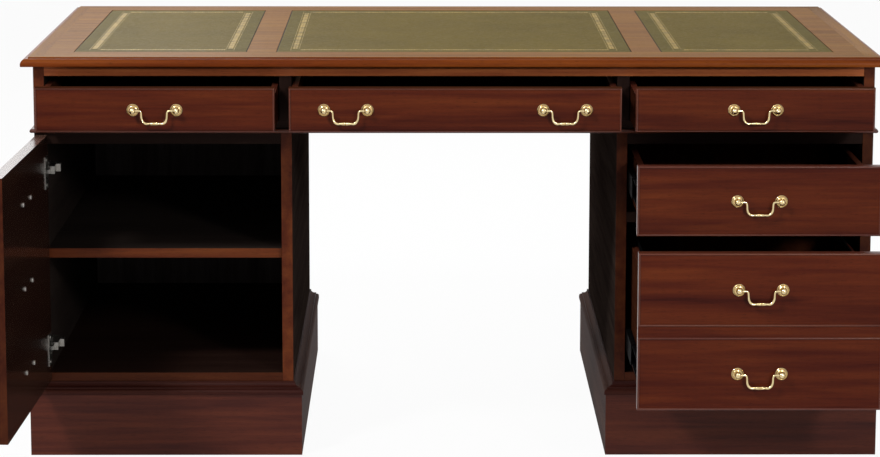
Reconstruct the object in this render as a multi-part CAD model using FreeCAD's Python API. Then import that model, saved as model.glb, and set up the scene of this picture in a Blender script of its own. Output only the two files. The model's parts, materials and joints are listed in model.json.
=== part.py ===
import FreeCAD, Part
import math
import os

# Twin-pedestal partners desk. Millimetres, +X to the right, +Y to the back, +Z up.
# Every piece is modelled round the middle of the desk, and is then moved on the floor so that
# the origin lies under the middle of the space that the open desk takes.

Vector = FreeCAD.Vector
TINY = 1e-6

# Overall size
OVERALL_WIDTH = 1676.0
OVERALL_DEPTH = 914.0
HEIGHT = 790.0

# Top
TOP_THICK = 18.0
TOP_OVERHANG = 22.0          # nose of the top beyond the frieze, on all four sides
EDGE_STRIP = 40.0            # width of the solid moulded strip round the top board
EDGE_STEP = 2.5              # height of the little riser beside the flat top
EDGE_LEDGE = 3.0             # flat ledge at the foot of the riser
OVOLO = 11.0                 # radius of the quarter round below the ledge
NOSE_ROUND = 2.0             # rounding under the nose

# Writing surface
LEATHER_CENTRE_WIDTH = 698.0
LEATHER_END_MARGIN = 93.0    # from the top's left and right edges to the leather
LEATHER_MARGIN = 95.0        # the same along the front and the back
LEATHER_SPACING = 57.0       # wood between two leather panels
LEATHER_THICK = 1.2
LEATHER_SUNK = 0.3           # leather surface below the wood

# Frieze
FRIEZE_HEIGHT = 131.0
UPPER_RAIL = 20.0
LOWER_RAIL = 24.0
RAIL_DEPTH = 70.0
BOARD = 21.0                 # frieze ends and pedestal sides
DIVIDER = 24.0
FRIEZE_BACK = 18.0
RUNNER_WIDTH = 30.0
FRIEZE_BEAD = 8.0            # height and projection of the half-round bead

# Pedestals
PEDESTAL_WIDTH = 500.0
PEDESTAL_TOP = 22.0
PEDESTAL_BOTTOM = 18.0
PEDESTAL_BACK = 12.0
PLINTH_HEIGHT = 122.0
PLINTH_THICK = 17.0
CAP_HEIGHT = 24.0            # moulding on top of the plinth
CAP_PROUD = 3.0              # its nose beyond the plinth boards
CAP_NOSE = 5.0               # height of the square nose at its foot
CAP_OVOLO = 6.0
CAP_LIP = 3.0
FLOOR_RISE = 17.0            # upper face of the bottom board above the plinth moulding
DRAWER_RAIL = 20.0           # rail between the two drawers
DRAWER_RAIL_DEPTH = 60.0
PEDESTAL_OPENING = 135.0     # height of the upper drawer's opening

# Back: applied beads that frame the panels
PANEL_BEAD = 6.0
PANEL_MARGIN = 45.0          # bead frame inside the edges of a pedestal's back
FRIEZE_MARGIN = 24.0         # the same on the frieze, which is lower

# Cupboard shelf
SHELF_THICK = 19.0
SHELF_HEIGHT = 228.0         # underside above the bottom board
SHELF_SETBACK = 12.0
SHELF_GAP = 0.5
PIN_RADIUS = 2.5
PIN_LENGTH = 18.0
PIN_DEPTH = 9.0              # length inside the side board
PIN_INSET = 70.0
PIN_PITCH = 96.0

# Drawer fronts
FRONT_THICK = 20.0
FRONT_GAP = 1.5
COCK_BEAD = 3.5              # width of the bead round each front
COCK_PROUD = 2.0
COCK_ROOT = 1.5              # how far the bead goes into the front
FALSE_RAIL = 21.0            # plain strip between two false fronts

# Drawer boxes
BOX_WALL = 12.0
BOX_BOTTOM = 6.0
GROOVE = 5.0                 # depth of the groove that holds the bottom
BOTTOM_RISE = 9.0            # underside of the bottom above the box's lower edge
BACK_RISE = 4.5              # lower edge of the box's back above that of its sides
RUNNER_GAP = 0.3             # running clearance over the runners
SIDE_GAP = 2.0
FRIEZE_BOX_LENGTH = 480.0
FRIEZE_HEADROOM = 17.0       # from the box's top to the top of its opening
PEDESTAL_BOX_LENGTH = 520.0
PEDESTAL_HEADROOM = 24.0
FILING_HEADROOM = 54.0
BOX_LIFT = 14.0              # box above the bottom edge of a front on telescopic slides

# Telescopic slides
SLIDE_LENGTH = 500.0
SLIDE_HEIGHT = 45.0
SLIDE_WIDTH = 13.0
SLIDE_SHEET = 1.5
SLIDE_GAP = 0.6
SLIDE_FLANGE = 7.8           # reach of the outer and middle members' flanges
SLIDE_SETBACK = 4.0          # front ends behind the drawer front
SLIDE_RISE = 50.0            # centre line above the box's lower edge

# Hanging-file rails
FILE_RAIL_THICK = 3.0
FILE_RAIL_HEIGHT = 24.0
FILE_RAIL_PROUD = 10.0

# Swan-neck handles
POST_SPACING = 82.0
ROSE_RADIUS = 12.0
ROSE_THICK = 3.0
ROSE_RING = (8.4, 7.4)       # outer and inner radius of the flat ring on the rose
ROSE_LAND = 2.1              # height of that ring
ROSE_ROUND = 0.95            # bulge of the rose's rim
ROSE_DOME = 0.5              # bulge between the ring and the neck
NECK_RADIUS = 3.6
BALL_RADIUS = 6.2
BALL_CLEAR = 1.0             # between the ball and the thick part of the bail
AXIS_OUT = 12.5              # bail axis in front of the face
BOLT_RADIUS = 2.0
BOLT_GAP = 0.1
NUT_RADIUS = 4.5
NUT_THICK = 3.0
WIRE_RADIUS = 2.0
PIVOT_RADIUS = 1.6
PIVOT_GAP = 0.05
PIVOT_LENGTH = 5.0           # length of bail inside each ball
SHOULDER = 17.0              # from the post to the bail's leg
BAIL_DROP = 24.5
LEG_LEAN = 2.0
SHOULDER_BEND = 4.0
FOOT_BEND = 9.0
GRIP_RADIUS = 3.2            # swelling in the middle of the bail
GRIP_LENGTH = 24.0
GRIP_END = 0.1               # how far its ends lie below the bail's surface
CENTRE_HANDLE_INSET = 109.0  # handle's middle from the sides of the centre drawer's opening

# Cupboard door and its hinges
DOOR_THICK = 22.0
DOOR_GAP = 4.0               # between the door's inner face and the carcass
DOOR_REVEAL = 0.5
DOOR_TOP_GAP = 4.0
DOOR_BOTTOM_GAP = 5.0
DOOR_BEVEL = 4.0             # back bevel of the hinged edge, which lets the door swing
HINGE_EDGE = 13.0            # hinge axis from the door's edge
HINGE_DEPTH = 12.0           # hinge axis below the door's inner face
HINGE_TOP = 70.0             # upper hinge below the door's top edge
HINGE_BOTTOM = 65.0          # lower hinge above the door's bottom edge
CUP_RADIUS = 17.5
CUP_EDGE = 5.5
CUP_DEPTH = 15.5
CUP_SHEET = 1.0
FLANGE_HEIGHT = 63.0
FLANGE_THICK = 1.5
FLANGE_MARGIN = 3.0          # flange beyond the cup, away from the door's edge
HINGE_SCREW_RADIUS = 3.0
HINGE_SCREW_HEAD = 0.8
HINGE_SCREW_MARGIN = 7.0
KNUCKLE_RADIUS = 1.9
KNUCKLE_HEIGHT = 8.0
HINGE_PIN_RADIUS = 0.9
HINGE_PIN_GAP = 0.05
HINGE_PIN_END = 2.5          # pin beyond each end of the knuckle
HINGE_LUG_GAP = 0.3          # between the knuckle and each lug of the cup
LINK_THICK = 2.2
LINK_RISE = 7.7              # from the side board to the link, which clears the open door
ARM_WIDTH = 15.0
ARM_THICK = 14.0
ARM_SETBACK = 1.5            # arm's front end behind the carcass front
ARM_LENGTH = 66.0
BOSS_RISE = 8.0              # adjusting boss above the arm
BOSS_LENGTH = 18.0
BOSS_SETBACK = 31.0          # front end of the boss behind the carcass front
PLATE_THICK = 3.0
PLATE_LENGTH = 26.0
PLATE_HEIGHT = 21.0
PLATE_SETBACK = 30.0         # front end of the plate behind the carcass front

# Rest pose: the drawers stand open and the door is swung out
FRIEZE_PULL = 155.0
PEDESTAL_PULL = 255.0
FILING_PULL = 305.0
DOOR_ANGLE = 92.0

# Places that follow from the sizes above
HALF_WIDTH = OVERALL_WIDTH / 2 - TOP_OVERHANG
HALF_DEPTH = OVERALL_DEPTH / 2 - TOP_OVERHANG
FRONT = -HALF_DEPTH
BACK = HALF_DEPTH
TOP_UNDER = HEIGHT - TOP_THICK
FRIEZE_BOTTOM = TOP_UNDER - FRIEZE_HEIGHT
FRIEZE_OPENING = (FRIEZE_BOTTOM + LOWER_RAIL, TOP_UNDER - UPPER_RAIL)
KNEEHOLE = HALF_WIDTH - PEDESTAL_WIDTH
PEDESTAL_CENTRE = HALF_WIDTH - PEDESTAL_WIDTH / 2
CUPBOARD_FLOOR = PLINTH_HEIGHT + CAP_HEIGHT + FLOOR_RISE
CUPBOARD_ROOF = FRIEZE_BOTTOM - PEDESTAL_TOP
UPPER_OPENING = (CUPBOARD_ROOF - PEDESTAL_OPENING, CUPBOARD_ROOF)
LOWER_OPENING = (CUPBOARD_FLOOR, CUPBOARD_ROOF - PEDESTAL_OPENING - DRAWER_RAIL)
INNER = KNEEHOLE + BOARD
OUTER = HALF_WIDTH - BOARD
DIVIDER_OUT = KNEEHOLE + DIVIDER
BOX_FRONT = FRONT + FRONT_THICK
DOOR_FACE = FRONT - DOOR_GAP - DOOR_THICK
DOOR_BOTTOM = PLINTH_HEIGHT + CAP_HEIGHT + DOOR_BOTTOM_GAP
DOOR_TOP = FRIEZE_BOTTOM - DOOR_TOP_GAP
DOOR_EDGE = -HALF_WIDTH + DOOR_REVEAL
DOOR_END = -KNEEHOLE - DOOR_REVEAL
HINGE_AXIS = Vector(DOOR_EDGE + HINGE_EDGE, FRONT - DOOR_GAP - HINGE_DEPTH, 0)
HINGE_HEIGHTS = (DOOR_BOTTOM + HINGE_BOTTOM, DOOR_TOP - HINGE_TOP)
SHELF_UNDER = CUPBOARD_FLOOR + SHELF_HEIGHT


# --- Shapes ---------------------------------------------------------------------------

def slab(x, y, z):
    """Board between two values along each axis."""
    size = (x[1] - x[0], y[1] - y[0], z[1] - z[0])
    return Part.makeBox(*size, Vector(x[0], y[0], z[0]))


def rod(start, direction, length, radius):
    return Part.makeCylinder(radius, length, start, direction)


def group(shapes):
    """Several separate solids in one node."""
    return Part.makeCompound(list(shapes))


def join(shapes):
    """One solid made of touching or overlapping shapes."""
    first, *others = shapes
    return first.fuse(others).removeSplitter()


def both_sides(shape):
    """A shape and its mirror image across the desk's middle plane."""
    return [shape, shape.mirror(Vector(), Vector(1, 0, 0))]


def outline(start, steps):
    """Edges from a start point: a point is a line, and (middle, end) is an arc."""
    edges = []
    here = start
    for step in steps:
        if isinstance(step, tuple):
            middle, end = step
            edges.append(Part.Arc(here, middle, end).toShape())
        elif here.isEqual(step, TINY):
            continue
        else:
            end = step
            edges.append(Part.LineSegment(here, end).toShape())
        here = end
    return edges


def quarter(centre, radius, degrees):
    """Point of a circle in the YZ plane, counted from the outward -Y side."""
    turn = math.radians(degrees)
    return centre + Vector(0, -radius * math.cos(turn), radius * math.sin(turn))


def mitred_frame(half_x, half_y, edges, reach, inner=0.0):
    """Four mitred strips round a rectangle. The closed profile lies in the YZ plane with
    outwards along -Y; reach and inner are how far it goes out of and into the rectangle."""
    face = Part.Face(Part.Wire(edges))
    low, high = face.BoundBox.ZMin, face.BoundBox.ZMax
    strips = []
    for turn in range(4):
        along, away = (half_x, half_y) if turn % 2 == 0 else (half_y, half_x)
        strip = face.copy()
        strip.translate(Vector(-along - reach, -away, 0))
        strip = strip.extrude(Vector(2 * (along + reach), 0, 0))
        plan = [Vector(inner - along, inner - away, low), Vector(along - inner, inner - away, low),
                Vector(along + reach, -away - reach, low),
                Vector(-along - reach, -away - reach, low)]
        wedge = Part.Face(Part.makePolygon(plan + plan[:1])).extrude(Vector(0, 0, high - low))
        strip = strip.common(wedge).Solids[0]
        strip.rotate(Vector(), Vector(0, 0, 1), 90 * turn)
        strips.append(strip)
    return strips


def half_round(width, proud):
    """Profile of a round-nosed bead that stands proud of a vertical face, seen in YZ."""
    flat = -(proud - width / 2)
    return outline(Vector(), [
        Vector(0, flat, 0),
        (Vector(0, -proud, width / 2), Vector(0, flat, width)),
        Vector(0, 0, width),
        Vector()])


def front_beads(x, z, face, width, proud, depth=0.0):
    """Bead frame on a vertical face that looks to -Y. It lies inside the rectangle and
    reaches depth behind the face."""
    crown = outline(Vector(0, 0, -depth),
                    [Vector(), (Vector(0, width / 2, proud), Vector(0, width, 0)),
                     Vector(0, width, -depth), Vector(0, 0, -depth)])
    strips = mitred_frame((x[1] - x[0]) / 2, (z[1] - z[0]) / 2, crown, 0.0, width)
    for strip in strips:
        strip.rotate(Vector(), Vector(1, 0, 0), 90)
        strip.translate(Vector((x[0] + x[1]) / 2, face, (z[0] + z[1]) / 2))
    return strips


# --- Top ------------------------------------------------------------------------------

def leather_panels():
    """The three sunk panels: name and range along X."""
    half = LEATHER_CENTRE_WIDTH / 2
    side = (half + LEATHER_SPACING, OVERALL_WIDTH / 2 - LEATHER_END_MARGIN)
    return {"leather_left": (-side[1], -side[0]), "leather_centre": (-half, half),
            "leather_right": side}


def top_pieces():
    half_x = OVERALL_WIDTH / 2 - EDGE_STRIP
    half_y = OVERALL_DEPTH / 2 - EDGE_STRIP
    board = slab((-half_x, half_x), (-half_y, half_y), (TOP_UNDER, HEIGHT))
    surface = HEIGHT - LEATHER_SUNK
    depth = shrink((-OVERALL_DEPTH / 2, OVERALL_DEPTH / 2), LEATHER_MARGIN)
    pieces = {}
    for name, width in leather_panels().items():
        pieces[name] = slab(width, depth, (surface - LEATHER_THICK, surface))
        board = board.cut(slab(width, depth, (surface - LEATHER_THICK, HEIGHT)))
    pieces["top_board"] = board
    pieces["top_edge_moulding"] = group(mitred_frame(half_x, half_y, edge_profile(), EDGE_STRIP))
    return pieces


def edge_profile():
    """Strip with a riser, a ledge, a quarter round and a nose."""
    ledge = HEIGHT - EDGE_STEP
    centre = Vector(0, OVOLO - EDGE_STRIP, ledge - OVOLO)
    nose = -EDGE_STRIP
    riser = centre.y + EDGE_LEDGE
    rounding = Vector(0, nose + NOSE_ROUND, TOP_UNDER + NOSE_ROUND)
    return outline(Vector(0, 0, TOP_UNDER), [
        Vector(0, rounding.y, TOP_UNDER),
        (quarter(rounding, NOSE_ROUND, -45), Vector(0, nose, rounding.z)),
        Vector(0, nose, centre.z),
        (quarter(centre, OVOLO, 45), Vector(0, centre.y, ledge)),
        Vector(0, riser, ledge),
        Vector(0, riser, HEIGHT),
        Vector(0, 0, HEIGHT),
        Vector(0, 0, TOP_UNDER)])


# --- Frieze ---------------------------------------------------------------------------

def frieze_pieces():
    full = (FRIEZE_BOTTOM, TOP_UNDER)
    rail_back = FRONT + RAIL_DEPTH
    back_face = BACK - FRIEZE_BACK
    end = slab((OUTER, HALF_WIDTH), (FRONT, BACK), full)
    rails = [slab((-OUTER, OUTER), (FRONT, rail_back), (FRIEZE_OPENING[1], TOP_UNDER)),
             slab((-OUTER, OUTER), (FRONT, rail_back), (FRIEZE_BOTTOM, FRIEZE_OPENING[0]))]
    divider = join([slab((KNEEHOLE, DIVIDER_OUT), (FRONT, back_face), FRIEZE_OPENING),
                    slab((KNEEHOLE, DIVIDER_OUT), (rail_back, back_face), full)])
    runner_walls = [(OUTER - RUNNER_WIDTH, OUTER), (DIVIDER_OUT, DIVIDER_OUT + RUNNER_WIDTH),
                    (KNEEHOLE - RUNNER_WIDTH, KNEEHOLE)]
    runners = []
    for x in runner_walls:
        runner = slab(x, (rail_back, back_face), (FRIEZE_BOTTOM, FRIEZE_OPENING[0]))
        runners += both_sides(runner)
    bead = half_round(FRIEZE_BEAD, FRIEZE_BEAD)
    strips = mitred_frame(HALF_WIDTH, HALF_DEPTH, bead, FRIEZE_BEAD)
    for strip in strips:
        strip.translate(Vector(0, 0, FRIEZE_BOTTOM))
    return {"frieze_ends": group(both_sides(end)),
            "frieze_rails": group(rails),
            "frieze_dividers": group(both_sides(divider)),
            "frieze_back": slab((-OUTER, OUTER), (back_face, BACK), full),
            "frieze_runners": group(runners),
            "frieze_bead": group(strips)}


def back_beads():
    """Bead frames on the reverse side: one on the frieze and one on each pedestal."""
    frieze_z = (FRIEZE_BOTTOM + FRIEZE_BEAD, TOP_UNDER)
    pedestal_z = (PLINTH_HEIGHT + CAP_HEIGHT, FRIEZE_BOTTOM)
    strips = []
    for x, z, margin in (((-HALF_WIDTH, HALF_WIDTH), frieze_z, FRIEZE_MARGIN),
                         ((KNEEHOLE, HALF_WIDTH), pedestal_z, PANEL_MARGIN),
                         ((-HALF_WIDTH, -KNEEHOLE), pedestal_z, PANEL_MARGIN)):
        frame = front_beads(shrink(x, margin), shrink(z, margin), -BACK, PANEL_BEAD, PANEL_BEAD / 2)
        strips += [strip.mirror(Vector(), Vector(0, 1, 0)) for strip in frame]
    return {"back_panel_beads": group(strips)}


# --- Pedestals ------------------------------------------------------------------------

def cap_profile():
    """Plinth moulding: a nose, a quarter round, a fillet and a cove up to the carcass."""
    out = -(PLINTH_THICK + CAP_PROUD)
    low = PLINTH_HEIGHT
    high = PLINTH_HEIGHT + CAP_HEIGHT
    round_centre = Vector(0, out + CAP_OVOLO, low + CAP_NOSE)
    shelf = round_centre.z + CAP_OVOLO
    cove_top = Vector(0, -CAP_LIP, high - CAP_LIP)
    cove_foot = Vector(0, round_centre.y, shelf + CAP_LIP)
    middle = (cove_top + cove_foot) * 0.5 + Vector(0, 1, -1) * (CAP_LIP / 2)
    return outline(Vector(0, 0, low), [
        Vector(0, out, low),
        Vector(0, out, round_centre.z),
        (quarter(round_centre, CAP_OVOLO, 45), Vector(0, round_centre.y, shelf)),
        cove_foot,
        (middle, cove_top),
        Vector(0, -CAP_LIP, high),
        Vector(0, 0, high),
        Vector(0, 0, low)])


def plinth_profile():
    return outline(Vector(), [Vector(0, -PLINTH_THICK, 0), Vector(0, -PLINTH_THICK, PLINTH_HEIGHT),
                              Vector(0, 0, PLINTH_HEIGHT), Vector()])


def pin_places():
    """Shelf pin centres on the right-hand pedestal: (y, z)."""
    rows = (FRONT + SHELF_SETBACK + PIN_INSET, BACK - PEDESTAL_BACK - PIN_INSET)
    return [(y, SHELF_UNDER - PIN_RADIUS) for y in rows]


def pedestal(side, shelf):
    """Carcass of one pedestal, built on the right and mirrored for the left."""
    inside = (INNER, OUTER)
    depth = (FRONT, BACK - PEDESTAL_BACK)
    sides = [slab((KNEEHOLE, INNER), (FRONT, BACK), (0, FRIEZE_BOTTOM)),
             slab((OUTER, HALF_WIDTH), (FRONT, BACK), (0, FRIEZE_BOTTOM))]
    boards = [slab(inside, depth, (CUPBOARD_ROOF, FRIEZE_BOTTOM)),
              slab(inside, depth, (CUPBOARD_FLOOR - PEDESTAL_BOTTOM, CUPBOARD_FLOOR))]
    if shelf:
        sides = [board.cut(pin_holes()) for board in sides]
    else:
        boards.append(slab(inside, (FRONT, FRONT + DRAWER_RAIL_DEPTH),
                           (LOWER_OPENING[1], UPPER_OPENING[0])))
    back = slab(inside, (BACK - PEDESTAL_BACK, BACK), (0, FRIEZE_BOTTOM))
    plinth = mitred_frame(PEDESTAL_WIDTH / 2, HALF_DEPTH, plinth_profile(), PLINTH_THICK)
    cap = mitred_frame(PEDESTAL_WIDTH / 2, HALF_DEPTH, cap_profile(), PLINTH_THICK + CAP_PROUD)
    for strip in plinth + cap:
        strip.translate(Vector(PEDESTAL_CENTRE, 0, 0))
    pieces = {"pedestal_sides": group(sides), "pedestal_boards": group(boards),
              "pedestal_back": back, "plinth": group(plinth), "plinth_moulding": group(cap)}
    if side == "left":
        pieces = {name: shape.mirror(Vector(), Vector(1, 0, 0)) for name, shape in pieces.items()}
    return {side + "_" + name: shape for name, shape in pieces.items()}


def pin_holes():
    """Rows of holes in both side boards: at the shelf and one step above and below."""
    holes = []
    for y, z in pin_places():
        for step in (-1, 0, 1):
            start = Vector(INNER - PIN_DEPTH, y, z + step * PIN_PITCH)
            holes.append(rod(start, Vector(1, 0, 0), OUTER - INNER + 2 * PIN_DEPTH, PIN_RADIUS))
    return group(holes)


def shelf_pieces():
    mirror = (Vector(), Vector(1, 0, 0))
    shelf = slab((INNER + SHELF_GAP, OUTER - SHELF_GAP),
                 (FRONT + SHELF_SETBACK, BACK - PEDESTAL_BACK - SHELF_GAP),
                 (SHELF_UNDER, SHELF_UNDER + SHELF_THICK))
    pins = []
    for y, z in pin_places():
        for start in (INNER - PIN_DEPTH, OUTER + PIN_DEPTH - PIN_LENGTH):
            pins.append(rod(Vector(start, y, z), Vector(1, 0, 0), PIN_LENGTH, PIN_RADIUS))
    return {"cupboard_shelf": shelf.mirror(*mirror), "shelf_pins": group(pins).mirror(*mirror)}


# --- Handles --------------------------------------------------------------------------

def bulged(start, end, bulge):
    """Arc step for outline(), in the XZ plane, that bulges to the right of its direction."""
    chord = (end - start).normalize()
    return (start + end) * 0.5 + Vector(chord.z, 0, -chord.x) * bulge, end


def post(x, face, z, board):
    """Rose, neck, ball with a blind cross hole, and a bolt with its nut behind the board.
    The hole opens towards the handle's middle, which lies at x = 0 here."""
    half_hole = PIVOT_RADIUS + PIVOT_GAP
    rim = Vector(ROSE_RADIUS, 0, 0)
    ring_out = Vector(ROSE_RING[0], 0, ROSE_LAND)
    ring_in = Vector(ROSE_RING[1], 0, ROSE_LAND)
    neck_foot = Vector(NECK_RADIUS, 0, ROSE_THICK)
    profile = outline(Vector(), [
        rim,
        bulged(rim, ring_out, ROSE_ROUND),
        ring_in,
        bulged(ring_in, neck_foot, ROSE_DOME),
        Vector(NECK_RADIUS, 0, AXIS_OUT),
        Vector(0, 0, AXIS_OUT),
        Vector()])
    rose = Part.Face(Part.Wire(profile)).revolve(Vector(), Vector(0, 0, 1), 360)
    ball = Part.makeSphere(BALL_RADIUS, Vector(0, 0, AXIS_OUT))
    bolt = rod(Vector(0, 0, -board), Vector(0, 0, 1), board, BOLT_RADIUS)
    nut = rod(Vector(0, 0, -board - NUT_THICK), Vector(0, 0, 1), NUT_THICK, NUT_RADIUS)
    piece = join([rose, ball, bolt, nut])
    inwards = Vector(-1 if x > 0 else 1, 0, 0)
    end = Vector(0, 0, AXIS_OUT) - inwards * (PIVOT_LENGTH - BALL_RADIUS)
    piece = piece.cut(rod(end, inwards, 2 * BALL_RADIUS, half_hole))
    piece.rotate(Vector(), Vector(1, 0, 0), 90)
    piece.translate(Vector(x, face, z))
    return piece


def bent_bar(points, bends, radius):
    """Round bar along straight runs joined by tangent arcs."""
    edges = []
    here = points[0]
    for corner, after, bend in zip(points[1:-1], points[2:], bends):
        before = (here - corner).normalize()
        onwards = (after - corner).normalize()
        half = before.getAngle(onwards) / 2
        setback = bend / math.tan(half)
        start = corner + before * setback
        end = corner + onwards * setback
        bisector = (before + onwards).normalize()
        middle = corner + bisector * (bend / math.sin(half) - bend)
        edges.append(Part.LineSegment(here, start).toShape())
        edges.append(Part.Arc(start, middle, end).toShape())
        here = end
    edges.append(Part.LineSegment(here, points[-1]).toShape())
    path = Part.Wire(edges)
    section = Part.Wire(Part.makeCircle(radius, points[0], points[1] - points[0]))
    return path.makePipeShell([section], True, False)


def bail():
    """Swan-neck bail in its hanging pose, with its axis along X through the origin."""
    half = POST_SPACING / 2
    leg = half - SHOULDER
    neck = half - BALL_RADIUS - BALL_CLEAR
    left = [Vector(-neck, 0, 0), Vector(-leg, 0, 0), Vector(-leg + LEG_LEAN, 0, -BAIL_DROP)]
    right = [Vector(-point.x, 0, point.z) for point in reversed(left)]
    bends = (SHOULDER_BEND, FOOT_BEND, FOOT_BEND, SHOULDER_BEND)
    bar = bent_bar(left + right, bends, WIRE_RADIUS)
    pivot_end = half - BALL_RADIUS + PIVOT_LENGTH - PIVOT_GAP
    pivot = rod(Vector(neck, 0, 0), Vector(1, 0, 0), pivot_end - neck, PIVOT_RADIUS)
    return join([bar, grip()] + both_sides(pivot))


def grip():
    """Swelling round the middle of the bail's lowest run."""
    end = WIRE_RADIUS - GRIP_END
    half = GRIP_LENGTH / 2
    left, right = Vector(-half, 0, end), Vector(half, 0, end)
    edges = outline(Vector(-half, 0, 0), [
        left, (Vector(0, 0, GRIP_RADIUS), right), Vector(half, 0, 0), Vector(-half, 0, 0)])
    swelling = Part.Face(Part.Wire(edges)).revolve(Vector(), Vector(1, 0, 0), 360)
    swelling.translate(Vector(0, 0, -BAIL_DROP))
    return swelling


def handle_posts(places, face, board):
    posts = []
    for x, z in places:
        for offset in (-POST_SPACING / 2, POST_SPACING / 2):
            piece = post(offset, face, z, board)
            piece.translate(Vector(x, 0, 0))
            posts.append(piece)
    return group(posts)


def bolt_holes(places, face, board):
    holes = []
    for x, z in places:
        for offset in (-POST_SPACING / 2, POST_SPACING / 2):
            holes.append(rod(Vector(x + offset, face, z), Vector(0, 1, 0), board,
                             BOLT_RADIUS + BOLT_GAP))
    return group(holes)


def hung_bail(x, face, z):
    piece = bail()
    piece.translate(Vector(x, face - AXIS_OUT, z))
    return piece


# --- Drawers --------------------------------------------------------------------------

def shrink(span, gap):
    return span[0] + gap, span[1] - gap


def middle(span):
    return (span[0] + span[1]) / 2


def stacked_fronts(z, count):
    """Heights of one real front, or of two false ones with a plain strip between."""
    height = (z[1] - z[0] - (count - 1) * FALSE_RAIL) / count
    return [(z[0] + n * (height + FALSE_RAIL), z[0] + n * (height + FALSE_RAIL) + height)
            for n in range(count)]


def drawer(opening_x, opening_z, handles, box, fields=1):
    """Front, box and posts of a shut drawer. handles are x places; box holds the gap
    beside it, its lower edge, the headroom over it and its length."""
    x = shrink(opening_x, FRONT_GAP)
    z = shrink(opening_z, FRONT_GAP)
    front = slab(x, (FRONT, BOX_FRONT), z)
    fronts = stacked_fronts(z, fields)
    for field in fronts:
        front = front.fuse(front_beads(x, field, FRONT, COCK_BEAD, COCK_PROUD, COCK_ROOT))
    places = [(place, middle(field)) for field in fronts for place in handles]
    front = front.cut(bolt_holes(places, FRONT, FRONT_THICK)).removeSplitter()
    gap, low, headroom, length = box
    top = opening_z[1] - headroom
    box_x = shrink(opening_x, gap)
    inside = shrink(box_x, BOX_WALL)
    box_end = BOX_FRONT + length
    base = low + BOTTOM_RISE
    bottom = slab(shrink(inside, -GROOVE), (BOX_FRONT - GROOVE, box_end - BOX_WALL + GROOVE),
                  (base, base + BOX_BOTTOM))
    walls = [slab((box_x[0], inside[0]), (BOX_FRONT, box_end), (low, top)),
             slab((inside[1], box_x[1]), (BOX_FRONT, box_end), (low, top)),
             slab(inside, (box_end - BOX_WALL, box_end), (low + BACK_RISE, top))]
    walls = [wall.cut(bottom) for wall in walls]
    return {"front": front.cut(bottom), "box": group(walls + [bottom]),
            "posts": handle_posts(places, FRONT, FRONT_THICK)}, places


def slide_channel(wall_x, centre_z, start, inset, height, depth, away):
    """Channel with its web on the wall_x side; away is +1 or -1 from that side."""
    web = sorted((wall_x + away * inset, wall_x + away * (inset + SLIDE_SHEET)))
    flange = sorted((wall_x + away * inset, wall_x + away * (inset + depth)))
    length = (start, start + SLIDE_LENGTH)
    top = centre_z + height / 2
    low = centre_z - height / 2
    return join([slab(web, length, (low, top)),
                 slab(flange, length, (top - SLIDE_SHEET, top)),
                 slab(flange, length, (low, low + SLIDE_SHEET))])


def slide_members(opening_x, box_low):
    """Outer, middle and inner members of the pair of slides of one shut drawer."""
    start = BOX_FRONT + SLIDE_SETBACK
    centre = box_low + SLIDE_RISE
    inset = SLIDE_SHEET + SLIDE_GAP
    members = {"outer": [], "middle": [], "inner": []}
    for wall, away in ((opening_x[0], 1), (opening_x[1], -1)):
        drawer_wall = wall + away * SLIDE_WIDTH
        for name, web, step, nested, reach, side in (
                ("outer", wall, 0, 0, SLIDE_FLANGE, away),
                ("middle", wall, inset, 2 * inset, SLIDE_FLANGE, away),
                ("inner", drawer_wall, 0, 4 * inset, SLIDE_WIDTH - 2 * inset, -away)):
            members[name].append(
                slide_channel(web, centre, start, step, SLIDE_HEIGHT - nested, reach, side))
    return {name: group(shapes) for name, shapes in members.items()}


def file_rails(opening_x, box_top):
    """Flat steel rails inside the deep drawer's walls, for hanging files."""
    inside = shrink(opening_x, SLIDE_WIDTH + BOX_WALL)
    top = box_top + FILE_RAIL_PROUD
    length = (BOX_FRONT, BOX_FRONT + PEDESTAL_BOX_LENGTH - BOX_WALL)
    height = (top - FILE_RAIL_HEIGHT, top)
    return group([slab((inside[0], inside[0] + FILE_RAIL_THICK), length, height),
                  slab((inside[1] - FILE_RAIL_THICK, inside[1]), length, height)])


def slide_box_low(opening_z):
    return opening_z[0] + FRONT_GAP + BOX_LIFT


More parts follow.
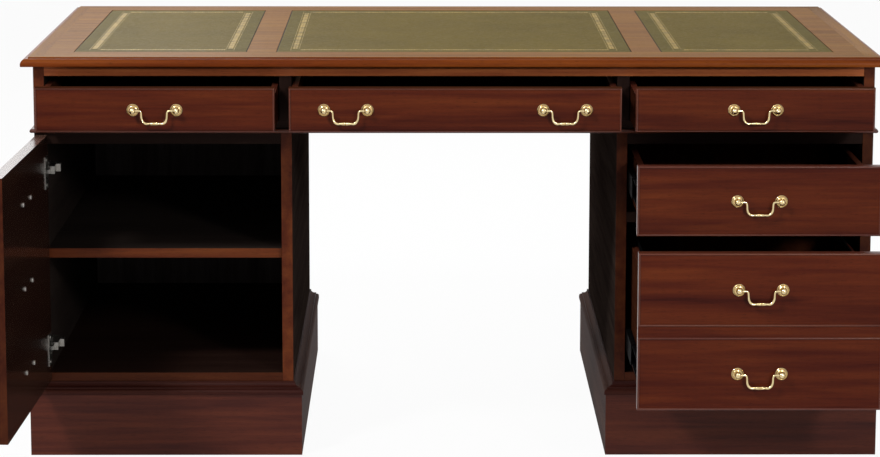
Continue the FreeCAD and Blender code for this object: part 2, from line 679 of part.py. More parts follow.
def drawer_pieces():
    """All drawers, each moved out to its place in the rest pose."""
    pieces = {}
    bails = []
    low = FRIEZE_OPENING[0] + RUNNER_GAP
    box = (SIDE_GAP, low, FRIEZE_HEADROOM, FRIEZE_BOX_LENGTH)
    centre_handles = shrink((-KNEEHOLE, KNEEHOLE), CENTRE_HANDLE_INSET)
    frieze = {"left_drawer": ((-OUTER, -DIVIDER_OUT), (0,), ("left_drawer_bail",)),
              "centre_drawer": ((-KNEEHOLE, KNEEHOLE), centre_handles,
                                ("centre_left_bail", "centre_right_bail")),
              "right_drawer": ((DIVIDER_OUT, OUTER), (0,), ("right_drawer_bail",))}
    for name, (x, offsets, bail_names) in frieze.items():
        handles = [middle(x) + offset for offset in offsets]
        made, places = drawer(x, FRIEZE_OPENING, handles, box)
        for part_name, shape in made.items():
            pieces[name + "_" + part_name] = pulled(shape, FRIEZE_PULL)
        bails += zip(bail_names, places, [FRIEZE_PULL] * len(bail_names))
    x = (INNER, OUTER)
    outer_members = []
    for name, opening_z, headroom, pull, fields, bail_names in (
            ("pedestal_drawer", UPPER_OPENING, PEDESTAL_HEADROOM, PEDESTAL_PULL, 1,
             ("pedestal_bail",)),
            ("filing_drawer", LOWER_OPENING, FILING_HEADROOM, FILING_PULL, 2,
             ("filing_lower_bail", "filing_upper_bail"))):
        low = slide_box_low(opening_z)
        box = (SLIDE_WIDTH, low, headroom, PEDESTAL_BOX_LENGTH)
        made, places = drawer(x, opening_z, [middle(x)], box, fields)
        slides = slide_members(x, low)
        made["slide_inners"] = slides["inner"]
        if fields == 2:
            made["file_rails"] = file_rails(x, opening_z[1] - headroom)
        for part_name, shape in made.items():
            pieces[name + "_" + part_name] = pulled(shape, pull)
        pieces[name + "_slide_middles"] = pulled(slides["middle"], pull / 2)
        outer_members += slides["outer"].Solids
        bails += zip(bail_names, places, [pull] * len(bail_names))
    pieces["slide_outer_members"] = group(outer_members)
    for name, (x, z), pull in bails:
        pieces[name] = hung_bail(x, FRONT - pull, z)
    return pieces


def pulled(shape, distance):
    """A shape moved out towards the front."""
    out = shape.copy()
    out.translate(Vector(0, -distance, 0))
    return out


# --- Cupboard door --------------------------------------------------------------------

def swung(shape):
    """A piece of the shut door turned to its rest angle."""
    out = shape.copy()
    out.rotate(HINGE_AXIS, Vector(0, 0, 1), -DOOR_ANGLE)
    return out


def false_fronts():
    """Heights of the three false fronts, level with the drawers of the other pedestal."""
    lower = stacked_fronts(shrink(LOWER_OPENING, FRONT_GAP), 2)
    return lower + [shrink(UPPER_OPENING, FRONT_GAP)]


def door_pieces():
    inner_face = FRONT - DOOR_GAP
    panel = slab((DOOR_EDGE, DOOR_END), (DOOR_FACE, inner_face), (DOOR_BOTTOM, DOOR_TOP))
    corner = [Vector(DOOR_EDGE, inner_face - DOOR_BEVEL, DOOR_BOTTOM),
              Vector(DOOR_EDGE + DOOR_BEVEL, inner_face, DOOR_BOTTOM),
              Vector(DOOR_EDGE, inner_face, DOOR_BOTTOM)]
    bevel = Part.Face(Part.makePolygon(corner + corner[:1]))
    panel = panel.cut(bevel.extrude(Vector(0, 0, DOOR_TOP - DOOR_BOTTOM)))
    field_x = (-OUTER + FRONT_GAP, -INNER - FRONT_GAP)
    for field in false_fronts():
        panel = panel.fuse(front_beads(field_x, field, DOOR_FACE, COCK_BEAD, COCK_PROUD, COCK_ROOT))
    places = [(middle(field_x), middle(field)) for field in false_fronts()]
    panel = panel.cut(bolt_holes(places, DOOR_FACE, DOOR_THICK))
    cups = []
    pins = []
    for height in HINGE_HEIGHTS:
        cup, pin, socket = hinge_cup(height)
        cups.append(cup)
        pins.append(pin)
        panel = panel.cut(socket)
    pieces = {"cupboard_door": panel.removeSplitter(),
              "door_posts": handle_posts(places, DOOR_FACE, DOOR_THICK),
              "hinge_cups": group(cups + pins)}
    for name, (x, z) in zip(("door_lower_bail", "door_middle_bail", "door_upper_bail"), places):
        pieces[name] = hung_bail(x, DOOR_FACE, z)
    pieces = {name: swung(shape) for name, shape in pieces.items()}
    pieces["hinge_plates"] = group(hinge_plate(height) for height in HINGE_HEIGHTS)
    return pieces


def hinge_cup(height):
    """Cup let into the door with its flange, lugs and pin, and the socket it sits in."""
    face = FRONT - DOOR_GAP
    centre = Vector(DOOR_EDGE + CUP_EDGE + CUP_RADIUS, face, height)
    inwards = Vector(0, -1, 0)
    socket = rod(centre, inwards, CUP_DEPTH, CUP_RADIUS)
    edge = DOOR_EDGE + CUP_EDGE
    flange = slab((edge, centre.x + CUP_RADIUS - FLANGE_MARGIN), (face, face + FLANGE_THICK),
                  (height - FLANGE_HEIGHT / 2, height + FLANGE_HEIGHT / 2))
    rim = rod(centre, -inwards, FLANGE_THICK, CUP_RADIUS)
    body = join([socket, rim, flange])
    hollow = rod(centre - inwards * FLANGE_THICK, inwards,
                 CUP_DEPTH - CUP_SHEET + FLANGE_THICK, CUP_RADIUS - CUP_SHEET)
    body = body.cut(hollow)
    lug_x = (HINGE_AXIS.x - KNUCKLE_RADIUS, HINGE_AXIS.x + KNUCKLE_RADIUS)
    lug_y = (HINGE_AXIS.y - KNUCKLE_RADIUS, HINGE_AXIS.y + KNUCKLE_RADIUS)
    lug_z = KNUCKLE_HEIGHT / 2 + HINGE_LUG_GAP
    lugs = [slab(lug_x, lug_y, (height - CUP_RADIUS, height - lug_z)),
            slab(lug_x, lug_y, (height + lug_z, height + CUP_RADIUS))]
    body = body.fuse([lug.common(hollow) for lug in lugs])
    screws = [rod(Vector(centre.x, face + FLANGE_THICK, height + offset), -inwards,
                  HINGE_SCREW_HEAD, HINGE_SCREW_RADIUS)
              for offset in (HINGE_SCREW_MARGIN - FLANGE_HEIGHT / 2,
                             FLANGE_HEIGHT / 2 - HINGE_SCREW_MARGIN)]
    body = body.fuse(screws)
    half_pin = KNUCKLE_HEIGHT / 2 + HINGE_PIN_END
    pin = rod(Vector(HINGE_AXIS.x, HINGE_AXIS.y, height - half_pin), Vector(0, 0, 1),
              2 * half_pin, HINGE_PIN_RADIUS)
    return body.cut(pin).removeSplitter(), pin, socket


def hinge_plate(height):
    """Plate on the side board with the arm that reaches into the cup round the front edge."""
    wall = -OUTER
    plate = slab((wall, wall + PLATE_THICK),
                 (FRONT + PLATE_SETBACK, FRONT + PLATE_SETBACK + PLATE_LENGTH),
                 (height - PLATE_HEIGHT / 2, height + PLATE_HEIGHT / 2))
    half = ARM_WIDTH / 2
    arm = slab((wall + PLATE_THICK, wall + PLATE_THICK + ARM_THICK),
               (FRONT + ARM_SETBACK, FRONT + ARM_LENGTH), (height - half, height + half))
    arm_top = wall + PLATE_THICK + ARM_THICK
    boss = slab((arm_top, arm_top + BOSS_RISE),
                (FRONT + BOSS_SETBACK, FRONT + BOSS_SETBACK + BOSS_LENGTH),
                (height - half, height + half))
    narrow = (height - KNUCKLE_HEIGHT / 2, height + KNUCKLE_HEIGHT / 2)
    link_x = (wall + LINK_RISE, wall + LINK_RISE + LINK_THICK)
    link_y = (HINGE_AXIS.y - LINK_THICK / 2, HINGE_AXIS.y + LINK_THICK / 2)
    leg = slab(link_x, (link_y[0], FRONT + ARM_SETBACK), narrow)
    link = slab((HINGE_AXIS.x, link_x[1]), link_y, narrow)
    knuckle = rod(Vector(HINGE_AXIS.x, HINGE_AXIS.y, narrow[0]), Vector(0, 0, 1),
                  KNUCKLE_HEIGHT, KNUCKLE_RADIUS)
    screw = rod(Vector(arm_top, FRONT + ARM_LENGTH - ARM_WIDTH / 2, height),
                Vector(1, 0, 0), HINGE_SCREW_HEAD, HINGE_SCREW_RADIUS)
    piece = join([plate, arm, boss, leg, link, knuckle, screw])
    bore = rod(Vector(HINGE_AXIS.x, HINGE_AXIS.y, narrow[0]), Vector(0, 0, 1), KNUCKLE_HEIGHT,
               HINGE_PIN_RADIUS + HINGE_PIN_GAP)
    return piece.cut(bore)


# --- The whole desk -------------------------------------------------------------------

def desk():
    pieces = {}
    pieces.update(top_pieces())
    pieces.update(frieze_pieces())
    pieces.update(back_beads())
    pieces.update(pedestal("left", shelf=True))
    pieces.update(pedestal("right", shelf=False))
    pieces.update(shelf_pieces())
    pieces.update(drawer_pieces())
    pieces.update(door_pieces())
    return pieces


def plan_shift(pieces):
    """Move on the floor that puts the origin under the middle of the open desk."""
    whole = FreeCAD.BoundBox()
    for shape in pieces.values():
        whole.add(shape.optimalBoundingBox(False))
    return Vector(-whole.Center.x, -whole.Center.y, 0)


def main():
    os.makedirs("parts", exist_ok=True)
    pieces = desk()
    shift = plan_shift(pieces)
    for name, shape in pieces.items():
        shape.translate(shift)
        shape.exportStep("parts/" + name + ".step")
    print(len(pieces), "nodes, moved by", tuple(round(value, 3) for value in shift))


main()
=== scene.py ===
"""Finishes of the twin-pedestal partners desk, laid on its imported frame."""

import json
import math

import bmesh
import bpy
from mathutils import Matrix, Vector


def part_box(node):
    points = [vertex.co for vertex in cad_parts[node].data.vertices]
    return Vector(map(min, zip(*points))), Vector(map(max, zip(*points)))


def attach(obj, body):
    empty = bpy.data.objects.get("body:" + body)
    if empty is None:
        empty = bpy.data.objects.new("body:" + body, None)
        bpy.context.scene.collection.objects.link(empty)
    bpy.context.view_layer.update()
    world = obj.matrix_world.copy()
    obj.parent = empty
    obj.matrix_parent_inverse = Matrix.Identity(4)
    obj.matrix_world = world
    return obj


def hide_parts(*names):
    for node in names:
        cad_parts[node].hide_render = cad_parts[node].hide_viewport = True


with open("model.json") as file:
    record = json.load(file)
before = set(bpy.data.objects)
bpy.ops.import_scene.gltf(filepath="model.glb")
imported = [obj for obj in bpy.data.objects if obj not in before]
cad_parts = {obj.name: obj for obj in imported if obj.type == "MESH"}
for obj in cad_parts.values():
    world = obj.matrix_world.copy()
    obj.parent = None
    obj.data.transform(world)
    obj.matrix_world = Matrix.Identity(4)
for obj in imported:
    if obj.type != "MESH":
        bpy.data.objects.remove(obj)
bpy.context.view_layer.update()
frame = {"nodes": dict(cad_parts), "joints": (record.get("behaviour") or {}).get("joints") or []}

bl_info = {
    "name": "Partners desk finishes",
    "version": (1, 0, 0),
    "blender": (4, 5, 0),
    "location": "View3D > Sidebar > Desk",
    "description": "Polished mahogany, tooled leather and brass for a partners desk",
    "category": "Object",
}

JOINTS = {joint["name"]: joint for joint in frame["joints"]}
MM = 0.001
WHITE = (1, 1, 1, 1)


def tone(red, green, blue):
    """Linear colour of the usual 0 to 255 display values."""
    def linear(level):
        level /= 255
        return level / 12.92 if level <= 0.04045 else ((level + 0.055) / 1.055) ** 2.4
    return (linear(red), linear(green), linear(blue))


def colour(name, description, default):
    return bpy.props.FloatVectorProperty(
        name=name, description=description, subtype="COLOR", size=3, min=0.0, max=1.0,
        default=default)


def length(name, description, millimetres):
    return bpy.props.FloatProperty(
        name=name, description=description, subtype="DISTANCE", unit="LENGTH", min=0.0,
        default=millimetres * MM, precision=4)


def power(name, description, watts):
    return bpy.props.FloatProperty(
        name=name, description=description, unit="POWER", min=0.0, default=watts)


def share(name, description, default):
    return bpy.props.FloatProperty(
        name=name, description=description, min=0.0, max=1.0, default=default)


# --- Settings ---------------------------------------------------------------------------

class DeskWoodSettings(bpy.types.PropertyGroup):
    """Colours and gloss of the woods."""
    front: colour("Fronts", "Red-brown veneer of the drawer fronts and the door", tone(75, 27, 11))
    bead: colour("Beads", "Polished beads round the fronts and the frieze", tone(84, 40, 27))
    rail: colour("Rails", "Lighter solid wood of the frieze rails", tone(158, 86, 48))
    edge: colour("Top edge", "Solid wood of the moulding round the top", tone(112, 52, 14))
    lipping: colour("Lippings", "Front edges of the pedestals and the shelf", tone(84, 38, 18))
    top: colour("Top", "Veneer of the writing top", tone(129, 85, 30))
    side: colour("Sides", "Outer faces of the pedestals and the back", tone(82, 32, 17))
    # Painted shade: faces beside the kneehole get this darker wood for the shade there, its grey a
    # painted sheen in place of a reflection
    kneehole: colour("Kneehole", "Dark stained faces beside the kneehole", tone(48, 39, 35))
    plinth: colour("Plinth", "Plinth boards", tone(72, 30, 19))
    # Partly painted shade: this moulding is darker than the plinth boards for the shade that lies
    # on it
    cap: colour("Plinth moulding", "Dark moulding that caps the plinth", tone(52, 22, 16))
    panel: colour("Back panels", "Inner face of the pedestal backs", tone(100, 90, 88))
    # Painted shade and painted sheen: the plinth's faces towards the kneehole get this darker,
    # greyer copy of the plinth wood
    flank: colour("Plinth sides", "Plinth and moulding beside the kneehole", tone(60, 38, 32))
    stain: colour("Stain", "Dark stain of hidden rails", tone(32, 19, 15))
    # Painted shade: this dark wood stands for the shadow on the frieze dividers, the lower frieze
    # rail and the pedestal boards under the drawers
    backing: colour("Door's back", "Dark polished inner face of the door", tone(42, 25, 19))
    edging: colour("Door edges", "Edges of the cupboard door", tone(62, 27, 13))
    # Painted highlight: the door's upper edge gets this pale wood for the light falling on it,
    # besides its real lacquer
    capping: colour("Door top", "Lacquered upper edge of the cupboard door", tone(96, 70, 60))
    # Painted shade: faces inside the carcass, the cupboard and the frieze get this dull dark wood,
    # its darkness partly standing for the shade in there
    inside: colour("Inside", "Dull dark stain inside the cupboard", tone(36, 29, 26))
    box: colour("Drawer boxes", "Stained drawer sides, backs and bottoms", tone(60, 30, 18))
    gloss: share("Lacquer", "Share of the clear lacquer on the polished faces", 0.5)
    arris: length("Arris", "Width of the rubbed edge of every board", 0.8)


class DeskLeatherSettings(bpy.types.PropertyGroup):
    """Hide and gilding of the writing surface."""
    hide: colour("Hide", "Olive green of the leather", tone(101, 85, 29))
    margin: colour("Margin", "Greener dye outside the tooled band", tone(95, 82, 31))
    groove: colour("Groove", "Dark line in which the leather ends", tone(40, 32, 20))
    gilt: colour("Gilding", "Colour of the gold tooling", tone(162, 133, 50))
    inset: length("Band inset", "From the edge of the leather to the tooled band", 27)
    band: length("Band width", "Width of the tooled band", 17)
    line: length("Fillet", "Width of the two lines that edge the band", 1.0)
    pitch: length("Pitch", "From one flower of the band to the next", 14.5)


class DeskMetalSettings(bpy.types.PropertyGroup):
    """Handles, hinges and slides."""
    brass: colour("Brass", "Polished brass of the handles", tone(224, 202, 154))
    nickel: colour("Nickel", "Plating of the hinges and bolts", tone(150, 147, 142))
    zinc: colour("Zinc", "Black plating of the drawer slides", tone(12, 12, 13))
    wire: length("Wire", "Thickness of the bails", 4.0)


class DeskStageSettings(bpy.types.PropertyGroup):
    """Floor, lamps and camera."""
    floor: colour("Floor", "Colour of the floor", (0.86, 0.86, 0.86))
    left: power("Left lamp", "Power of the high lamp in front on the left", 134)
    right: power("Right lamp", "Power of the lamp in front on the right", 76)
    top: power("Top lamp", "Power of the lamp overhead", 35)
    back: power("Back lamp", "Power of the lamp behind the desk", 60)
    sky: share("Sky", "Strength of the even light from all round", 0.22)
    lens: bpy.props.FloatProperty(
        name="Lens", description="Focal length in millimetres", default=118.29, min=10.0)


def settings():
    return bpy.context.scene.desk


class DeskSettings(bpy.types.PropertyGroup):
    """Everything that a user of the desk would change."""
    wood: bpy.props.PointerProperty(type=DeskWoodSettings)
    leather: bpy.props.PointerProperty(type=DeskLeatherSettings)
    metal: bpy.props.PointerProperty(type=DeskMetalSettings)
    stage: bpy.props.PointerProperty(type=DeskStageSettings)


# --- Node trees -------------------------------------------------------------------------

def add(tree, kind, values=(), **options):
    """New node with its options and its socket values or links."""
    made = tree.nodes.new(kind)
    for name, value in options.items():
        setattr(made, name, value)
    for socket, value in dict(values).items():
        if isinstance(value, bpy.types.NodeSocket):
            tree.links.new(value, made.inputs[socket])
        else:
            made.inputs[socket].default_value = value
    return made


def maths(tree, operation, *values):
    made = add(tree, "ShaderNodeMath", dict(enumerate(values)), operation=operation)
    return made.outputs[0]


def plus(tree, first, second):
    return maths(tree, "ADD", first, second)


def times(tree, first, second):
    return maths(tree, "MULTIPLY", first, second)


def minus(tree, first, second):
    return maths(tree, "SUBTRACT", first, second)


def spread(tree, value, low, high, to_low=0.0, to_high=1.0):
    """A value stretched from one range to another, and held there."""
    made = add(tree, "ShaderNodeMapRange", {"Value": value, "From Min": low, "From Max": high,
                                            "To Min": to_low, "To Max": to_high})
    return made.outputs["Result"]


def blend_colours(tree, factor, first, second, mode="MIX"):
    made = add(tree, "ShaderNodeMix", {0: factor, 6: first, 7: second},
               data_type="RGBA", blend_type=mode)
    return made.outputs[2]


def brighten(tree, tint, level):
    """A colour times a brightness."""
    grey = add(tree, "ShaderNodeCombineColor", {"Red": level, "Green": level, "Blue": level})
    return blend_colours(tree, 1.0, tint, grey.outputs[0], "MULTIPLY")


def noise(tree, vector, scale, detail=2.0, roughness=0.5, distortion=0.0):
    made = add(tree, "ShaderNodeTexNoise", {"Vector": vector, "Scale": scale, "Detail": detail,
                                            "Roughness": roughness, "Distortion": distortion})
    return made.outputs["Fac"]


def bump(tree, shader, height, depth, strength=0.5):
    """Relief of a shader, with its depth in millimetres."""
    made = add(tree, "ShaderNodeBump",
               {"Height": height, "Strength": strength, "Distance": depth * MM})
    tree.links.new(made.outputs["Normal"], shader.inputs["Normal"])


def node_group(name, **inputs):
    """Group with its inputs and the outputs of every finish; only the group if it exists."""
    if name in bpy.data.node_groups:
        return bpy.data.node_groups[name], None, None
    group = bpy.data.node_groups.new(name, "ShaderNodeTree")
    outputs = {"Colour": "Color", "Roughness": "Float", "Height": "Float"}
    for direction, sockets in (("INPUT", inputs), ("OUTPUT", outputs)):
        for socket, kind in sockets.items():
            group.interface.new_socket(
                name=socket, in_out=direction, socket_type="NodeSocket" + kind)
    start = group.nodes.new("NodeGroupInput")
    end = group.nodes.new("NodeGroupOutput")
    return group, start.outputs, end.inputs


def finish_group(tree, result, tint, roughness, height):
    """Links what a finish group gives."""
    for socket, value in (("Colour", tint), ("Roughness", roughness), ("Height", height)):
        tree.links.new(value, result[socket])
    return tree


# How far the layers of the mahogany change its brightness, roughness and height
FIGURE_SWING = 1.7
FIBRE_SWING = 0.55
CLOUD_SWING = 0.35
PORE_LEVEL = 0.62
FIBRE_ROUGHNESS = 0.10
PORE_ROUGHNESS = 0.12
FIBRE_HEIGHT = 0.35
# Shares of the ribbon and of the bands in the figure
RIBBON_SHARE = 0.55
BAND_SHARE = 0.45


def wood_group():
    """Ribbon figure, fibres and pores of mahogany. The vector runs with the grain along X."""
    tree, given, result = node_group(
        "Mahogany grain", Vector="Vector", Colour="Color", Figure="Float", Polish="Float")
    if given is None:
        return tree
    vector = given["Vector"]
    ribbon = noise(tree, vector, scale=1.0, detail=3.0, roughness=0.55, distortion=0.5)
    bands = noise(tree, vector, scale=3.1, detail=2.0, roughness=0.6, distortion=0.3)
    fibre = noise(tree, vector, scale=14.0, detail=4.0, roughness=0.65)
    pores = noise(tree, vector, scale=60.0, detail=1.0)
    cloud = noise(tree, vector, scale=0.35, detail=1.0)
    pore_mask = spread(tree, pores, low=0.60, high=0.72)
    figure = plus(tree, times(tree, spread(tree, ribbon, low=0.32, high=0.68), RIBBON_SHARE),
                  times(tree, spread(tree, bands, low=0.3, high=0.7), BAND_SHARE))
    fibre_swing = minus(tree, fibre, 0.5)
    swing = times(tree, given["Figure"], minus(tree, figure, 0.5))
    level = plus(tree, 1.0, times(tree, swing, FIGURE_SWING))
    level = plus(tree, level, times(tree, fibre_swing, FIBRE_SWING))
    level = plus(tree, level, times(tree, minus(tree, cloud, 0.5), CLOUD_SWING))
    level = times(tree, level, spread(tree, pore_mask, 0.0, 1.0, to_low=1.0, to_high=PORE_LEVEL))
    hue = spread(tree, figure, 0.0, 1.0, to_low=0.492, to_high=0.508)
    warm = add(tree, "ShaderNodeHueSaturation", {
        "Hue": hue, "Saturation": 1.0, "Value": 1.0,
        "Color": brighten(tree, given["Colour"], level)})
    rough = plus(tree, given["Polish"], times(tree, fibre_swing, FIBRE_ROUGHNESS))
    return finish_group(tree, result, warm.outputs[0],
                        plus(tree, rough, times(tree, pore_mask, PORE_ROUGHNESS)),
                        minus(tree, times(tree, fibre, FIBRE_HEIGHT), pore_mask))


# How far the mottle brightens the leather, and how high its creases stand
MOTTLE_SWING = 0.12
CREASE_HEIGHT = 0.4


def hide_group():
    """Fine pebble grain, creases and uneven dye of a leather skiver."""
    tree, given, result = node_group("Leather grain", Vector="Vector", Colour="Color")
    if given is None:
        return tree
    vector = given["Vector"]
    pebble = add(tree, "ShaderNodeTexVoronoi",
                 {"Vector": vector, "Scale": 620.0, "Randomness": 0.9},
                 feature="SMOOTH_F1").outputs["Distance"]
    crease = noise(tree, vector, scale=160.0, detail=3.0, roughness=0.6, distortion=0.8)
    dye = noise(tree, vector, scale=7.0, detail=4.0, roughness=0.55)
    mottle = noise(tree, vector, scale=55.0)
    level = plus(tree, spread(tree, dye, 0.3, 0.7, to_low=0.86, to_high=1.12),
                 times(tree, mottle, MOTTLE_SWING))
    level = times(tree, level, spread(tree, pebble, 0.0, 0.6, to_low=1.05, to_high=0.84))
    return finish_group(tree, result, brighten(tree, given["Colour"], level),
                        spread(tree, crease, 0.3, 0.7, to_low=0.42, to_high=0.56),
                        minus(tree, times(tree, crease, CREASE_HEIGHT), pebble))


# What tarnish multiplies the colour of metal by, how much rougher it is, and the height of wear
TARNISH = (0.55, 0.47, 0.38, 1)
TARNISH_ROUGHNESS = 0.35
SMEAR_HEIGHT = 0.5
SCRATCH_HEIGHT = 0.3


def brushed_group():
    """Fine scratches, smears and dull spots of worked metal."""
    tree, given, result = node_group(
        "Metal wear", Vector="Vector", Colour="Color", Polish="Float", Tarnish="Float")
    if given is None:
        return tree
    vector = given["Vector"]
    smear = noise(tree, vector, scale=90.0, detail=3.0, roughness=0.6, distortion=0.4)
    spots = noise(tree, vector, scale=420.0)
    scratch = noise(tree, vector, scale=1500.0, detail=1.0)
    dull = times(tree, given["Tarnish"], spread(tree, smear, low=0.42, high=0.72))
    dark = blend_colours(tree, 1.0, given["Colour"], TARNISH, "MULTIPLY")
    rough = plus(tree, given["Polish"], times(tree, dull, TARNISH_ROUGHNESS))
    return finish_group(tree, result, blend_colours(tree, dull, given["Colour"], dark),
                        plus(tree, rough, spread(tree, spots, 0.5, 0.8, to_high=0.06)),
                        plus(tree, times(tree, smear, SMEAR_HEIGHT),
                             times(tree, scratch, SCRATCH_HEIGHT)))


def start_material(name):
    """Material with its tree, shader and object coordinates; the tree is None if it exists."""
    if name in bpy.data.materials:
        return bpy.data.materials[name], None, None, None
    material = bpy.data.materials.new(name)
    material.use_nodes = True
    tree = material.node_tree
    coordinates = tree.nodes.new("ShaderNodeTexCoord").outputs["Object"]
    return material, tree, tree.nodes["Principled BSDF"], coordinates


def use_group(tree, shader, group, values, depth):
    """A finish group drives the colour, the roughness and the bump of a shader."""
    made = add(tree, "ShaderNodeGroup", values, node_tree=group)
    tree.links.new(made.outputs["Colour"], shader.inputs["Base Color"])
    tree.links.new(made.outputs["Roughness"], shader.inputs["Roughness"])
    bump(tree, shader, made.outputs["Height"], depth)


# Scale of the figure: it repeats about every 45 mm across the grain and every 900 mm along it
ACROSS = 22.0
ALONG = 1.1
GRAINS = {"x": (ALONG, ACROSS, ACROSS), "y": (ACROSS, ALONG, ACROSS), "z": (ACROSS, ACROSS, ALONG)}

# Kind of wood: strength of the figure, roughness, specular level and share of the lacquer
WOODS = {
    "front": (0.66, 0.30, 0.06, 0.10),
    "bead": (0.30, 0.30, 0.25, 0.0),
    "rail": (0.55, 0.32, 0.08, 0.10),
    "edge": (0.50, 0.34, 0.05, 0.08),
    "lipping": (0.55, 0.34, 0.06, 0.06),
    "top": (0.34, 0.40, 0.015, 0.0),
    "side": (0.60, 0.36, 0.08, 0.10),
    "kneehole": (0.50, 0.60, 0.0, 0.0),
    "plinth": (0.80, 0.42, 0.16, 0.0),
    "cap": (0.50, 0.46, 0.08, 0.0),
    "panel": (0.40, 0.60, 0.0, 0.0),
    "flank": (0.50, 0.60, 0.018, 0.0),
    "stain": (0.50, 0.50, 0.04, 0.0),
    "backing": (0.50, 0.14, 0.12, 0.0),
    "edging": (0.55, 0.36, 0.05, 0.04),
    "capping": (0.30, 0.22, 0.60, 1.0),
    "inside": (0.50, 0.60, 0.05, 0.0),
    "box": (0.50, 0.50, 0.0, 0.0),
}
COAT_ROUGHNESS = 0.12

# Kind of metal: roughness, tarnish, metallic and specular level
METALS = {
    "brass": (0.14, 0.45, 1.0, 0.5),
    "nickel": (0.26, 0.40, 1.0, 0.5),
    "zinc": (0.55, 0.50, 0.0, 0.02),
}

# Depth of each relief, in millimetres, and specular level of the leather and its gilding
WOOD_RELIEF = 0.05
METAL_RELIEF = 0.02
HIDE_RELIEF = 0.12
GOLD_RELIEF = 0.08
HIDE_SPECULAR = 0.015
GOLD_SPECULAR = 0.05


def wood(kind, grain):
    """Polished or stained wood of one kind, with its grain along one axis."""
    material, tree, shader, coordinates = start_material("mahogany_" + kind + "_" + grain)
    if tree is None:
        return material
    figure, polish, specular, lacquer = WOODS[kind]
    chosen = settings().wood
    stretched = add(tree, "ShaderNodeMapping", {"Vector": coordinates, "Scale": GRAINS[grain]})
    use_group(tree, shader, wood_group(), {
        "Vector": stretched.outputs[0], "Colour": (*getattr(chosen, kind), 1.0),
        "Figure": figure, "Polish": polish}, WOOD_RELIEF)
    shader.inputs["Coat Weight"].default_value = chosen.gloss * lacquer
    shader.inputs["Coat Roughness"].default_value = COAT_ROUGHNESS
    shader.inputs["Specular IOR Level"].default_value = specular
    return material


def metal(kind):
    """Worked metal of one kind."""
    material, tree, shader, coordinates = start_material(kind)
    if tree is None:
        return material
    polish, tarnish, metallic, specular = METALS[kind]
    use_group(tree, shader, brushed_group(), {
        "Vector": coordinates, "Colour": (*getattr(settings().metal, kind), 1.0),
        "Polish": polish, "Tarnish": tarnish}, METAL_RELIEF)
    shader.inputs["Metallic"].default_value = metallic
    shader.inputs["Specular IOR Level"].default_value = specular
    return material


def leather(part):
    """Leather of the field (hide), of the strip round it (margin) or of its edge (groove)."""
    material, tree, shader, coordinates = start_material("leather_" + part)
    if tree is None:
        return material
    use_group(tree, shader, hide_group(), {
        "Vector": coordinates, "Colour": (*getattr(settings().leather, part), 1.0)}, HIDE_RELIEF)
    shader.inputs["Specular IOR Level"].default_value = HIDE_SPECULAR
    return material


def gilding():
    """Worn gold leaf that lies in the leather's grain."""
    material, tree, shader, coordinates = start_material("gold_tooling")
    if tree is None:
        return material
    chosen = settings().leather
    worn = noise(tree, coordinates, scale=240.0, detail=3.0, roughness=0.6)
    rubbed = noise(tree, coordinates, scale=34.0, roughness=0.6)
    mask = maths(tree, "MAXIMUM", spread(tree, worn, low=0.56, high=0.68),
                 spread(tree, rubbed, 0.42, 0.60, to_high=0.72))
    tint = blend_colours(tree, mask, (*chosen.gilt, 1.0), (*chosen.hide, 1.0))
    tree.links.new(tint, shader.inputs["Base Color"])
    roughness = spread(tree, worn, 0.3, 0.7, to_low=0.34, to_high=0.5)
    tree.links.new(roughness, shader.inputs["Roughness"])
    metallic = spread(tree, mask, 0.0, 1.0, to_low=0.18, to_high=0.0)
    tree.links.new(metallic, shader.inputs["Metallic"])
    shader.inputs["Specular IOR Level"].default_value = GOLD_SPECULAR
    bump(tree, shader, worn, GOLD_RELIEF, strength=0.4)
    return material


# --- Modelling --------------------------------------------------------------------------

# In degrees: least bend of an edge that is rubbed, and greatest bend within a flat face
RUBBED_BEND = 50
FLAT_BEND = 0.5
# Distances within which vertices are merged: own meshes and CAD meshes
WELD = 0.002 * MM
CAD_WELD = 0.004 * MM


def only(piece):
    """Selects one piece and nothing else."""
    bpy.ops.object.select_all(action="DESELECT")
    piece.select_set(True)
    bpy.context.view_layer.objects.active = piece


def apply_modifier(piece, kind, **options):
    made = piece.modifiers.new(kind.title(), kind)
    for name, value in options.items():
        setattr(made, name, value)
    only(piece)
    bpy.ops.object.modifier_apply(modifier=made.name)


def settle(piece):
    """Puts a piece's place into its mesh, so that its object sits at the origin."""
    only(piece)
    bpy.ops.object.transform_apply(location=True, rotation=True, scale=True)


def settle_at(piece, location):
    piece.location = location
    settle(piece)


def settle_turned(piece, angles):
    piece.rotation_euler = angles
    settle(piece)


def rub_edges(piece, width):
    """Small rounding along the sharp edges."""
    apply_modifier(piece, "BEVEL", width=width, segments=2, limit_method="ANGLE",
                   angle_limit=math.radians(RUBBED_BEND), use_clamp_overlap=True)


def smooth(piece, degrees=35.0):
    """Smooth shading in which the wide flat faces stay flat."""
    only(piece)
    bpy.ops.object.shade_smooth_by_angle(angle=math.radians(degrees))
    apply_modifier(piece, "WEIGHTED_NORMAL", keep_sharp=True, weight=90)


def edit_all(piece):
    """Edit mode on one piece, with all of its mesh selected."""
    only(piece)
    bpy.ops.object.mode_set(mode="EDIT")
    bpy.ops.mesh.select_all(action="SELECT")


def recalculate(piece):
    """Merges doubled vertices and turns the faces outward."""
    edit_all(piece)
    bpy.ops.mesh.remove_doubles(threshold=WELD)
    bpy.ops.mesh.normals_make_consistent(inside=False)
    bpy.ops.object.mode_set(mode="OBJECT")


def unite(pieces, name):
    """Several objects become one mesh."""
    bpy.ops.object.select_all(action="DESELECT")
    for piece in pieces:
        piece.select_set(True)
    bpy.context.view_layer.objects.active = pieces[0]
    bpy.ops.object.join()
    pieces[0].name = name
    pieces[0].data.name = name
    return pieces[0]


def twin(piece):
    """A copy with its own mesh."""
    made = piece.copy()
    made.data = piece.data.copy()
    bpy.context.scene.collection.objects.link(made)
    return made


